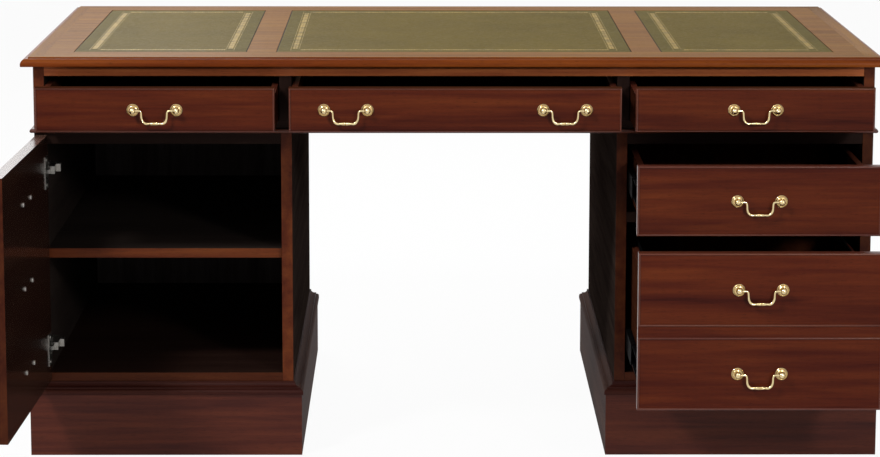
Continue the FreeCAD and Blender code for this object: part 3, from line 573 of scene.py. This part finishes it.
def from_node(node):
    """A merged copy of a CAD node's mesh, with its flat faces whole again."""
    source = frame["nodes"][node]
    piece = bpy.data.objects.new(node + "_finish", source.data.copy())
    bpy.context.scene.collection.objects.link(piece)
    piece.data.materials.clear()
    only(piece)
    bpy.ops.mesh.customdata_custom_splitnormals_clear()
    edit_all(piece)
    bpy.ops.mesh.remove_doubles(threshold=CAD_WELD)
    bpy.ops.mesh.dissolve_limited(angle_limit=math.radians(FLAT_BEND))
    bpy.ops.object.mode_set(mode="OBJECT")
    return piece


def islands(form):
    """The faces of each separate board in a bmesh, always in the same order."""
    left = dict.fromkeys(form.faces)
    while left:
        found = [left.popitem()[0]]
        for face in found:
            for edge in face.edges:
                for other in edge.link_faces:
                    if other in left:
                        del left[other]
                        found.append(other)
        yield found


def extent(faces):
    """Lowest and highest corner of some faces."""
    corners = [vertex.co for face in faces for vertex in face.verts]
    return Vector(map(min, zip(*corners))), Vector(map(max, zip(*corners)))


def longest(low, high):
    size = high - low
    return "xyz"[max(range(3), key=lambda number: size[number])]


def lay_wood(piece, pick, grain=None):
    """Gives each face its wood: pick(face, low, high) names it from the face and its board's box.
    The grain follows an axis, or each face's longest side ("face"), or else each board's."""
    form = bmesh.new()
    form.from_mesh(piece.data)
    slots = {}
    for faces in islands(form):
        low, high = extent(faces)
        for face in faces:
            axis = longest(*extent([face])) if grain == "face" else grain or longest(low, high)
            key = (pick(face, low, high), axis)
            face.material_index = slots.setdefault(key, len(slots))
    form.to_mesh(piece.data)
    form.free()
    for kind, axis in slots:
        piece.data.materials.append(wood(kind, axis))


def finish_wood(node, body, pick, grain=None, arris=None):
    """A CAD board or moulding with rubbed edges and laid grain."""
    piece = from_node(node)
    lay_wood(piece, pick if callable(pick) else lambda face, low, high: pick, grain)
    width = settings().wood.arris if arris is None else arris
    if width:
        rub_edges(piece, width)
    smooth(piece)
    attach(piece, body)
    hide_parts(node)


def dress_metal(node, body, kind, arris=0.0):
    """A CAD metal piece with softened edges."""
    piece = from_node(node)
    piece.data.materials.append(metal(kind))
    if arris:
        rub_edges(piece, arris)
    smooth(piece)
    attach(piece, body)
    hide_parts(node)


def turned(name, rings, material, sides=40):
    """A lathe-turned form along +Z from (height, radius) rings, closed at both ends."""
    height, radius = rings[0]
    bpy.ops.mesh.primitive_circle_add(vertices=sides, radius=radius * MM, fill_type="NGON",
                                      location=(0, 0, height * MM))
    piece = bpy.context.object
    piece.name = name
    settle(piece)
    edit_all(piece)
    for (before, narrow), (after, wide) in zip(rings, rings[1:]):
        bpy.ops.mesh.extrude_region_move(
            TRANSFORM_OT_translate={"value": (0, 0, (after - before) * MM)})
        bpy.ops.transform.resize(value=(wide / narrow, wide / narrow, 1),
                                 center_override=(0, 0, after * MM))
    bpy.ops.object.mode_set(mode="OBJECT")
    piece.data.materials.append(material)
    recalculate(piece)
    return piece


def bent_wire(name, points, radii, thickness, material):
    """A round wire along a smooth curve through points of the XZ plane, in millimetres."""
    bpy.ops.curve.primitive_bezier_curve_add(location=(0, 0, 0))
    wire = bpy.context.object
    wire.name = name
    curve = wire.data
    curve.splines.clear()
    spline = curve.splines.new("BEZIER")
    spline.bezier_points.add(len(points) - 1)
    for knot, (x, z), radius in zip(spline.bezier_points, points, radii):
        knot.co = Vector((x, 0, z)) * MM
        knot.handle_left_type = "AUTO"
        knot.handle_right_type = "AUTO"
        knot.radius = radius
    curve.dimensions = "3D"
    curve.resolution_u = 8
    curve.bevel_depth = thickness / 2
    curve.bevel_resolution = 5
    curve.use_fill_caps = True
    bpy.ops.object.convert(target="MESH")
    wire.data.materials.append(material)
    recalculate(wire)
    return wire


# --- The top ----------------------------------------------------------------------------

ROOT = "desk_frame"

# Least part of a face's normal along an axis if it looks that way, lies level or looks up at all
FACING = 0.9
LEVEL = 0.98
UPWARD = 0.3


class DESK_OT_top(bpy.types.Operator):
    """Top board and its mitred edge moulding"""
    bl_idname = "desk.top"
    bl_label = "Top"

    def execute(self, context):
        finish_wood("top_board", ROOT, "top", grain="x", arris=0)
        finish_wood("top_edge_moulding", ROOT, moulding_wood, grain="face", arris=0)
        return {"FINISHED"}


def at_top(face, high):
    """Whether a face lies level at the top of its board."""
    return face.normal.z > LEVEL and face.calc_center_median().z > high.z - MM


def moulding_wood(face, low, high):
    """The strip is veneered like the top where it is flat, and is solid wood below."""
    return "top" if at_top(face, high) else "edge"


# --- Leather ----------------------------------------------------------------------------

# Width of the groove at the leather's edge, how far the skived edge dips, and the tool's depth
GROOVE = 2.2 * MM
SKIVE = 0.9 * MM
TOOLING = 0.12 * MM


class DESK_OT_leather(bpy.types.Operator):
    """Three leather panels with gold tooled bands"""
    bl_idname = "desk.leather"
    bl_label = "Leather"

    def execute(self, context):
        for name in ("leather_left", "leather_centre", "leather_right"):
            leather_panel(name)
        return {"FINISHED"}


def leather_panel(node):
    """Panel with a skived edge, two gilt fillets and flowers between them."""
    chosen = settings().leather
    low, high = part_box(node)
    centre = (low + high) / 2
    size = high - low
    bpy.ops.mesh.primitive_cube_add(size=1, location=centre)
    panel = bpy.context.object
    panel.name = node + "_hide"
    panel.scale = size
    settle(panel)
    for material in (leather("hide"), gilding(), leather("margin"), leather("groove")):
        panel.data.materials.append(material)
    edit_all(panel)
    bpy.ops.mesh.select_mode(type="FACE")
    bpy.ops.mesh.select_all(action="DESELECT")
    bpy.ops.object.mode_set(mode="OBJECT")
    for face in panel.data.polygons:
        face.select = face.normal.z > FACING
    bpy.ops.object.mode_set(mode="EDIT")
    for width in (GROOVE, chosen.inset - GROOVE, chosen.line, chosen.band - 2 * chosen.line,
                  chosen.line):
        bpy.ops.mesh.inset(thickness=width, depth=0, use_even_offset=True)
    bpy.ops.object.mode_set(mode="OBJECT")
    for vertex in panel.data.vertices:
        outward = max(abs(vertex.co.x - centre.x) - size.x / 2,
                      abs(vertex.co.y - centre.y) - size.y / 2)
        if vertex.co.z > centre.z and outward > -0.1 * MM:
            vertex.co.z -= SKIVE
    for face in panel.data.polygons:
        face.material_index = leather_part(face, centre, size)
    panel = unite([panel] + flower_bands(centre, size, high.z), node + "_hide")
    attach(panel, ROOT)
    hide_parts(node)


def leather_part(face, centre, size):
    """Material number of a face by its distance from the edge: hide, gilt, margin or groove."""
    chosen = settings().leather
    middle = face.center
    inward = min(size.x / 2 - abs(middle.x - centre.x), size.y / 2 - abs(middle.y - centre.y))
    if face.normal.z < UPWARD or inward < GROOVE:
        return 3
    if inward < chosen.inset:
        return 2
    band_end = chosen.inset + chosen.band
    if inward < chosen.inset + chosen.line or band_end - chosen.line < inward < band_end:
        return 1
    return 2 if inward < band_end else 0


# Sizes of a flower and a leaf, as shares of the space between the fillets
BLOOM = 0.44
LEAF = 0.3
# How far the notches between the petals reach in, and how a leaf is stretched
NOTCH = 0.42
LEAF_SHAPE = (0.42, 1.25, 1)


def flower():
    """One flower of the band with a leaf beside it, flat on the leather."""
    chosen = settings().leather
    width = chosen.band - 2 * chosen.line
    bpy.ops.mesh.primitive_circle_add(vertices=16, radius=width * BLOOM, fill_type="NGON")
    bloom = bpy.context.object
    for vertex in list(bloom.data.vertices)[::4]:
        vertex.co *= NOTCH
    bpy.ops.mesh.primitive_circle_add(vertices=8, radius=width * LEAF, fill_type="NGON",
                                      location=(chosen.pitch / 2, 0, 0))
    leaf = bpy.context.object
    leaf.scale = LEAF_SHAPE
    settle(leaf)
    pair = unite([bloom, leaf], "flower")
    edit_all(pair)
    bpy.ops.mesh.extrude_region_move(TRANSFORM_OT_translate={"value": (0, 0, TOOLING)})
    bpy.ops.object.mode_set(mode="OBJECT")
    recalculate(pair)
    pair.data.materials.append(gilding())
    return pair


def flower_bands(centre, size, surface):
    """The four rows of flowers of one panel."""
    chosen = settings().leather
    inward = chosen.inset + chosen.band / 2
    rows = []
    for turn in range(4):
        along, away = (size.x / 2, size.y / 2) if turn % 2 == 0 else (size.y / 2, size.x / 2)
        run = 2 * (along - inward - chosen.band / 2)
        count = int(run // chosen.pitch)
        row = flower()
        settle_at(row, (-(count - 1) * chosen.pitch / 2, inward - away, surface))
        apply_modifier(row, "ARRAY", count=count, use_relative_offset=False,
                       use_constant_offset=True, constant_offset_displace=(chosen.pitch, 0, 0))
        settle_turned(row, (0, 0, turn * math.pi / 2))
        settle_at(row, (centre.x, centre.y, 0))
        rows.append(row)
    return rows


# --- Frieze and carcass -----------------------------------------------------------------

def side_wood(face, low, high):
    """Upright boards: lipped in front, polished outside, darker on the inner faces as painted
    shade.
    """
    beside_kneehole = abs(low.x + high.x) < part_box("frieze_ends")[1].x
    outward = face.normal.x * (low.x + high.x) > 0
    if face.normal.y < -FACING:
        return front_edge(low)
    # Painted shade: faces towards the drawers get the dark inside wood, and faces beside the
    # kneehole the darker kneehole wood
    if abs(face.normal.x) > FACING and outward == beside_kneehole:
        return "inside"
    return "kneehole" if beside_kneehole else "side"


def front_edge(low):
    """Front edges, light where lit and darker in shade, as painted light and shade."""
    # Painted light: the lit frieze ends and the left board beside the kneehole get the light
    # lippings
    if low.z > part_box("cupboard_shelf")[1].z:
        return "lipping"
    # Painted shade: the right pedestal, in the shadow of its open drawers, gets the darker
    # door-edge wood
    if low.x > 0:
        return "edging"
    # Painted shade: the left pedestal's outer board, beside the door, gets the dark shade wood
    return "lipping" if low.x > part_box("cupboard_shelf")[0].x else "stain"


def board_wood(face, low, high):
    """Level boards: the bottom one is lipped in front, and the rest is dark as painted shade."""
    if face.normal.y > -FACING:
        return "stain" if face.normal.z > FACING else "inside"
    # Painted shade: front edges of the upper boards, under the open drawers, get the dark shade
    # wood
    return "edging" if high.z < 2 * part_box("left_plinth")[1].z else "stain"


def shelf_wood(face, low, high):
    return "lipping" if face.normal.y < -FACING else "inside"


# The upper rail lies within this distance of the frieze's top
RAIL_ZONE = 30 * MM


def rail_wood(face, low, high):
    """Only the upper rail shows; the lower one gets the dividers' dark painted shade."""
    upper = high.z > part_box("frieze_ends")[1].z - RAIL_ZONE
    return "rail" if face.normal.y < -FACING and upper else "stain"


def plinth_wood(plain):
    """Picks the dull, darker painted-shade wood for faces of a plinth that look to the kneehole.
    """
    def pick(face, low, high):
        across, back = face.normal.x, face.normal.y
        dull = abs(across) > abs(back) and across * face.calc_center_median().x < 0
        return "flank" if dull else plain
    return pick


def back_wood(inner):
    """Picks polished wood for faces that look back, and another wood for the rest."""
    return lambda face, low, high: "side" if face.normal.y > FACING else inner


class DESK_OT_frieze(bpy.types.Operator):
    """Frieze rails, ends, dividers, back, runners and bead"""
    bl_idname = "desk.frieze"
    bl_label = "Frieze"

    def execute(self, context):
        finish_wood("frieze_ends", ROOT, side_wood)
        finish_wood("frieze_rails", ROOT, rail_wood)
        # Painted shade: the dividers take the dark shade wood for the shadow between the open
        # drawers
        finish_wood("frieze_dividers", ROOT, "stain", grain="z")
        finish_wood("frieze_back", ROOT, back_wood("inside"), arris=0)
        finish_wood("frieze_runners", ROOT, "inside")
        finish_wood("frieze_bead", ROOT, "bead", grain="face", arris=0)
        return {"FINISHED"}


class DESK_OT_pedestals(bpy.types.Operator):
    """Pedestal carcasses, plinths and their mouldings, and the beads of the back"""
    bl_idname = "desk.pedestals"
    bl_label = "Pedestals"

    def execute(self, context):
        for side in ("left_", "right_"):
            finish_wood(side + "pedestal_sides", ROOT, side_wood)
            finish_wood(side + "pedestal_boards", ROOT, board_wood, grain="x")
            finish_wood(side + "pedestal_back", ROOT, back_wood("panel"), grain="z",
                        arris=0)
            finish_wood(side + "plinth", ROOT, plinth_wood("plinth"),
                        grain="face", arris=0.6 * MM)
            finish_wood(side + "plinth_moulding", ROOT, plinth_wood("cap"),
                        grain="face", arris=0)
        finish_wood("back_panel_beads", ROOT, "bead", grain="face", arris=0)
        return {"FINISHED"}


class DESK_OT_shelf(bpy.types.Operator):
    """Cupboard shelf and its pins"""
    bl_idname = "desk.shelf"
    bl_label = "Shelf"

    def execute(self, context):
        finish_wood("cupboard_shelf", ROOT, shelf_wood, grain="x")
        dress_metal("shelf_pins", ROOT, "brass", arris=0.3 * MM)
        return {"FINISHED"}


# --- Drawers and door -------------------------------------------------------------------

FRIEZE_DRAWERS = ("left_drawer", "centre_drawer", "right_drawer")
DEEP_DRAWERS = ("pedestal_drawer", "filing_drawer")
# Least part of the normal outward at which a face of a front or the door isn't a rounded bead
FLAT = 0.9999
# Thickness of the plain wood at the back of a drawer front
PLAIN_BACK = 3 * MM


def front_wood(face, low, high):
    """A drawer front is veneered, its beads are polished and its back is plain."""
    if face.normal.y > FACING or face.calc_center_median().y > high.y - PLAIN_BACK:
        return "box"
    if face.normal.y < -FLAT:
        return "front"
    # Painted shade: upward bead faces of the frieze drawers take the matte box wood for the shade
    # under the top
    shaded = face.normal.z > UPWARD and high.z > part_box("frieze_bead")[1].z
    return "box" if shaded else "bead"


def box_wood(face, low, high):
    """The upper edges of the sides are rounded and polished by use."""
    return "bead" if at_top(face, high) else "box"


class DESK_OT_drawers(bpy.types.Operator):
    """Drawer fronts and boxes"""
    bl_idname = "desk.drawers"
    bl_label = "Drawers"

    def execute(self, context):
        for drawer in FRIEZE_DRAWERS + DEEP_DRAWERS:
            finish_wood(drawer + "_front", drawer, front_wood, grain="x", arris=0)
            finish_wood(drawer + "_box", drawer, box_wood)
        return {"FINISHED"}


# The door stands this far past square, in degrees, so its outer face looks along DOOR_LOOK
DOOR_PAST_SQUARE = 2
DOOR_LOOK = Vector((-math.cos(math.radians(DOOR_PAST_SQUARE)),
                    math.sin(math.radians(DOOR_PAST_SQUARE)), 0))
# Least area, in square metres, of a face of the door's edge that isn't part of a bead
EDGE_AREA = 0.001


def door_wood(face, low, high):
    """The open door: its inner face looks to +X; its lacquered upper edge has a painted highlight.
    """
    if face.normal.x > FACING:
        return "backing"
    if face.normal.dot(DOOR_LOOK) > FLAT:
        return "front"
    if at_top(face, high):
        return "capping"
    return "edging" if face.calc_area() > EDGE_AREA else "bead"


class DESK_OT_door(bpy.types.Operator):
    """Cupboard door with its concealed hinges"""
    bl_idname = "desk.door"
    bl_label = "Door and hinges"

    def execute(self, context):
        finish_wood("cupboard_door", "door", door_wood, grain="y", arris=0)
        dress_metal("hinge_cups", "door", "nickel", arris=0.3 * MM)
        dress_metal("hinge_plates", ROOT, "nickel", arris=0.4 * MM)
        return {"FINISHED"}


class DESK_OT_slides(bpy.types.Operator):
    """Telescopic slides and hanging-file rails"""
    bl_idname = "desk.slides"
    bl_label = "Slides"

    def execute(self, context):
        dress_metal("slide_outer_members", ROOT, "zinc")
        for drawer in DEEP_DRAWERS:
            dress_metal(drawer + "_slide_inners", drawer, "zinc")
            dress_metal(drawer + "_slide_middles", drawer + "_slide", "zinc")
        dress_metal("filing_drawer_file_rails", "filing_drawer", "zinc",
                    arris=0.4 * MM)
        return {"FINISHED"}


# --- Handles ----------------------------------------------------------------------------

# Handles, in millimetres: from post to post, from the front to the bail's axis, the drop of the
# bail, and the thickness of the fronts
POST_SPACING = 82.0
AXIS_OUT = 12.5
BAIL_DROP = 24.5
FRONT_THICK = 20.0
DOOR_THICK = 22.0
BAILS = {
    "left_drawer": ("left_drawer_bail",),
    "centre_drawer": ("centre_left_bail", "centre_right_bail"),
    "right_drawer": ("right_drawer_bail",),
    "pedestal_drawer": ("pedestal_bail",),
    "filing_drawer": ("filing_lower_bail", "filing_upper_bail"),
    "door": ("door_lower_bail", "door_middle_bail", "door_upper_bail"),
}

# Turned forms, as (height, radius) in millimetres; the grip's heights run from its middle
ROSE = ((0.0, 11.8), (0.9, 12.0), (1.9, 11.7), (2.5, 10.9), (2.2, 10.1), (1.1, 9.6), (1.1, 9.1),
        (2.3, 8.6), (3.3, 7.8), (3.6, 6.9), (2.9, 6.2), (1.9, 5.6), (2.2, 4.8), (3.4, 4.1),
        (5.6, 3.7), (7.4, 3.9), (8.3, 4.6))
BOLT_HEAD = ((0.0, 4.4), (1.6, 4.4), (2.5, 3.7), (2.9, 2.6))
HALF_GRIP = ((0.8, 2.6), (1.4, 3.25), (2.6, 3.2), (3.3, 2.5), (3.9, 3.1), (4.9, 3.1), (5.6, 2.5),
             (6.4, 2.9), (7.2, 2.6), (8.8, 1.9), (10.3, 1.7), (10.9, 2.4), (11.9, 2.4),
             (12.5, 1.7))
GRIP = (*((-place, radius) for place, radius in reversed(HALF_GRIP)), (0, 3.25), *HALF_GRIP)
BALL = 6.2
# Length, width and depth of the slots of the cross recess
RECESS = (4.2, 0.8, 2.2)

# How far a bail reaches into the balls of its posts, and its left half: place across, height and
# the wire's thickness as a share of the usual one
BAIL_END = 0.6
HALF_BAIL = (
    (BALL - BAIL_END - POST_SPACING / 2, 0, 1.25), (-28.8, 0.1, 1.0), (-26.2, -0.8, 0.95),
    (-24.7, -3.2, 0.95), (-24.2, -8.0, 1.0), (-23.9, -13.0, 1.1), (-22.7, -18.0, 1.2),
    (-19.4, -22.6, 1.3), (-15.0, -24.6, 1.2), (-10.0, -BAIL_DROP, 0.95))


def handle_frame(bail):
    """Matrix of a handle: X along the bail's axis, Y into the front and Z up."""
    joint = JOINTS[bail + "_swing"]
    across = -Vector(joint["axis"])
    up = Vector((0, 0, 1))
    turn = Matrix((across, up.cross(across), up)).transposed().to_4x4()
    return Matrix.Translation(Vector(joint["pos_m"])) @ turn


def screw_head(material):
    """Pan head with a cross recess."""
    head = turned("head", BOLT_HEAD, material, sides=24)
    top, _ = BOLT_HEAD[-1]
    slots = []
    for turn in (0, math.pi / 2):
        bpy.ops.mesh.primitive_cube_add(size=1, location=(0, 0, top * MM))
        slot = bpy.context.object
        slot.scale = Vector(RECESS) * MM
        settle_turned(slot, (0, 0, turn))
        slots.append(slot)
    for slot in slots:
        apply_modifier(head, "BOOLEAN", operation="DIFFERENCE", solver="EXACT", object=slot)
        bpy.data.objects.remove(slot)
    return head


def post(thickness):
    """Rose, neck, ball and the bolt's head behind the wood, with the front's face at Y = 0."""
    brass = metal("brass")
    rose = turned("rose", ROSE, brass)
    bpy.ops.mesh.primitive_uv_sphere_add(segments=32, ring_count=20, radius=BALL * MM,
                                         location=(0, 0, AXIS_OUT * MM))
    ball = bpy.context.object
    ball.data.materials.append(brass)
    settle(ball)
    head = screw_head(metal("nickel"))
    settle_turned(head, (math.pi, 0, 0))
    settle_at(head, (0, 0, -thickness * MM))
    made = unite([rose, ball, head], "post")
    settle_turned(made, (math.pi / 2, 0, 0))
    return made


def bail():
    """Swan-neck bail with a turned grip and collars, hanging from the X axis."""
    points = [*HALF_BAIL, *((-x, z, width) for x, z, width in reversed(HALF_BAIL))]
    bar = bent_wire("bar", [(x, z) for x, z, width in points], [width for x, z, width in points],
                    settings().metal.wire, metal("brass"))
    grip = turned("grip", GRIP, metal("brass"), sides=28)
    settle_turned(grip, (0, math.pi / 2, 0))
    settle_at(grip, (0, 0, -BAIL_DROP * MM))
    return unite([bar, grip], "bail")


class DESK_OT_handles(bpy.types.Operator):
    """Swan-neck handles with their posts"""
    bl_idname = "desk.handles"
    bl_label = "Handles"

    def execute(self, context):
        pattern = bail()
        for body, bails in BAILS.items():
            posts = []
            for name in bails:
                place = handle_frame(name)
                hung = twin(pattern)
                hung.name = name + "_brass"
                hung.data.transform(place)
                smooth(hung, degrees=60)
                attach(hung, name)
                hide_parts(name)
                made = post(DOOR_THICK if body == "door" else FRONT_THICK)
                for side in (-1, 1):
                    seat = Vector((side * POST_SPACING / 2, AXIS_OUT, 0)) * MM
                    copy = twin(made)
                    copy.data.transform(place @ Matrix.Translation(seat))
                    posts.append(copy)
                bpy.data.objects.remove(made)
            joined = unite(posts, body + "_posts_brass")
            smooth(joined, degrees=40)
            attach(joined, body)
            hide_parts(body + "_posts")
        bpy.data.objects.remove(pattern)
        return {"FINISHED"}


# --- Stage ------------------------------------------------------------------------------

# Place and target of each lamp, and the side of its square, in metres
LAMPS = {
    "left": ((-2.4, -2.7, 3.6), (-0.5, -0.2, 0.4), 0.7),
    "right": ((1.95, -4.2, 2.05), (0, -0.2, 0.5), 0.5),
    "top": ((-1.2, 2.4, 2.3), (0, 0.3, 0.7), 1.8),
    "back": ((0.6, 4.2, 2.6), (0, 0.3, 0.5), 1.6),
}

# Side of the floor in metres, its roughness, and the share of white in what the camera sees of it
FLOOR_SIZE = 60
FLOOR_ROUGHNESS = 0.7
FLOOR_WHITE = 0.95

# Camera: place from the middle of the desk and height in metres, and its turn in degrees
CAMERA_PLACE = (-0.06956, -5.98933, 1.50758)
CAMERA_PITCH = 9.37
CAMERA_YAW = 0.419
CAMERA_ROLL = -0.076
CAMERA_SHIFT = -0.080
CAMERA_REACH = 200
SENSOR = 36.0


class DESK_OT_stage(bpy.types.Operator):
    """Floor, lamps, sky and camera"""
    bl_idname = "desk.stage"
    bl_label = "Stage"

    def execute(self, context):
        lay_floor()
        light_sky()
        for name, lamp in LAMPS.items():
            hang_lamp(name, *lamp)
        place_camera()
        context.scene.view_settings.view_transform = "Standard"
        return {"FINISHED"}


def seen_rays(tree):
    """1 for camera, glossy and transmission rays, and 0 for the rest."""
    path = tree.nodes.new("ShaderNodeLightPath").outputs
    seen = maths(tree, "MAXIMUM", path["Is Camera Ray"], path["Is Glossy Ray"])
    return maths(tree, "MAXIMUM", seen, path["Is Transmission Ray"])


def lay_floor():
    bpy.ops.mesh.primitive_plane_add(size=FLOOR_SIZE, location=(0, 0, 0))
    floor = bpy.context.object
    floor.name = "floor"
    material, tree, shader, _ = start_material("pale_floor")
    shader.inputs["Base Color"].default_value = (*settings().stage.floor, 1.0)
    shader.inputs["Roughness"].default_value = FLOOR_ROUGHNESS
    glow = add(tree, "ShaderNodeEmission", {"Color": WHITE, "Strength": 1.0})
    white = times(tree, seen_rays(tree), FLOOR_WHITE)
    mix = add(tree, "ShaderNodeMixShader", {0: white, 1: shader.outputs[0], 2: glow.outputs[0]})
    tree.links.new(mix.outputs[0], tree.nodes["Material Output"].inputs["Surface"])
    floor.data.materials.append(material)


def light_sky():
    """Even light from all round, with a white background for the camera and in reflections."""
    world = bpy.data.worlds.new("studio")
    bpy.context.scene.world = world
    world.use_nodes = True
    tree = world.node_tree
    sky = tree.nodes["Background"]
    sky.inputs["Color"].default_value = WHITE
    strength = spread(tree, seen_rays(tree), 0.0, 1.0, to_low=settings().stage.sky)
    tree.links.new(strength, sky.inputs["Strength"])


def hang_lamp(name, place, target, size):
    """Square soft lamp that looks at a point."""
    bpy.ops.object.light_add(type="AREA", location=place)
    lamp = bpy.context.object
    lamp.name = name + "_lamp"
    lamp.data.shape = "SQUARE"
    lamp.data.size = size
    lamp.data.energy = getattr(settings().stage, name)
    lamp.rotation_euler = (Vector(target) - Vector(place)).to_track_quat("-Z", "Y").to_euler()
    # The lamp behind the desk would show as a bright square in the polished top
    lamp.visible_glossy = name != "back"


def place_camera():
    low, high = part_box("top_board")
    middle = (low + high) / 2
    across, back, height = CAMERA_PLACE
    bpy.ops.object.camera_add(location=(middle.x + across, middle.y + back, height))
    camera = bpy.context.object
    camera.name = "camera"
    turn = (90 - CAMERA_PITCH, CAMERA_ROLL, -CAMERA_YAW)
    camera.rotation_euler = [math.radians(angle) for angle in turn]
    camera.data.sensor_width = SENSOR
    camera.data.lens = settings().stage.lens
    camera.data.shift_y = CAMERA_SHIFT
    camera.data.clip_end = CAMERA_REACH
    bpy.context.scene.camera = camera


# --- Add-on -----------------------------------------------------------------------------

class DESK_PT_panel(bpy.types.Panel):
    """Sidebar panel with the desk's steps and settings"""
    bl_idname = "DESK_PT_panel"
    bl_label = "Partners desk"
    bl_space_type = "VIEW_3D"
    bl_region_type = "UI"
    bl_category = "Desk"

    def draw(self, context):
        for step in STEPS:
            self.layout.operator(step.bl_idname)
        for name in ("wood", "leather", "metal", "stage"):
            chosen = getattr(context.scene.desk, name)
            column = self.layout.box().column()
            for field in chosen.__annotations__:
                column.prop(chosen, field)


STEPS = (DESK_OT_top, DESK_OT_leather, DESK_OT_frieze, DESK_OT_pedestals, DESK_OT_shelf,
         DESK_OT_drawers, DESK_OT_door, DESK_OT_slides, DESK_OT_handles, DESK_OT_stage)
CLASSES = (DeskWoodSettings, DeskLeatherSettings, DeskMetalSettings, DeskStageSettings,
           DeskSettings, *STEPS, DESK_PT_panel)


def register():
    for item in CLASSES:
        bpy.utils.register_class(item)
    bpy.types.Scene.desk = bpy.props.PointerProperty(type=DeskSettings)


def unregister():
    del bpy.types.Scene.desk
    for item in reversed(CLASSES):
        bpy.utils.unregister_class(item)


def main():
    register()
    for step in STEPS:
        group, name = step.bl_idname.split(".")
        getattr(getattr(bpy.ops, group), name)()


if __name__ == "__main__":
    main()
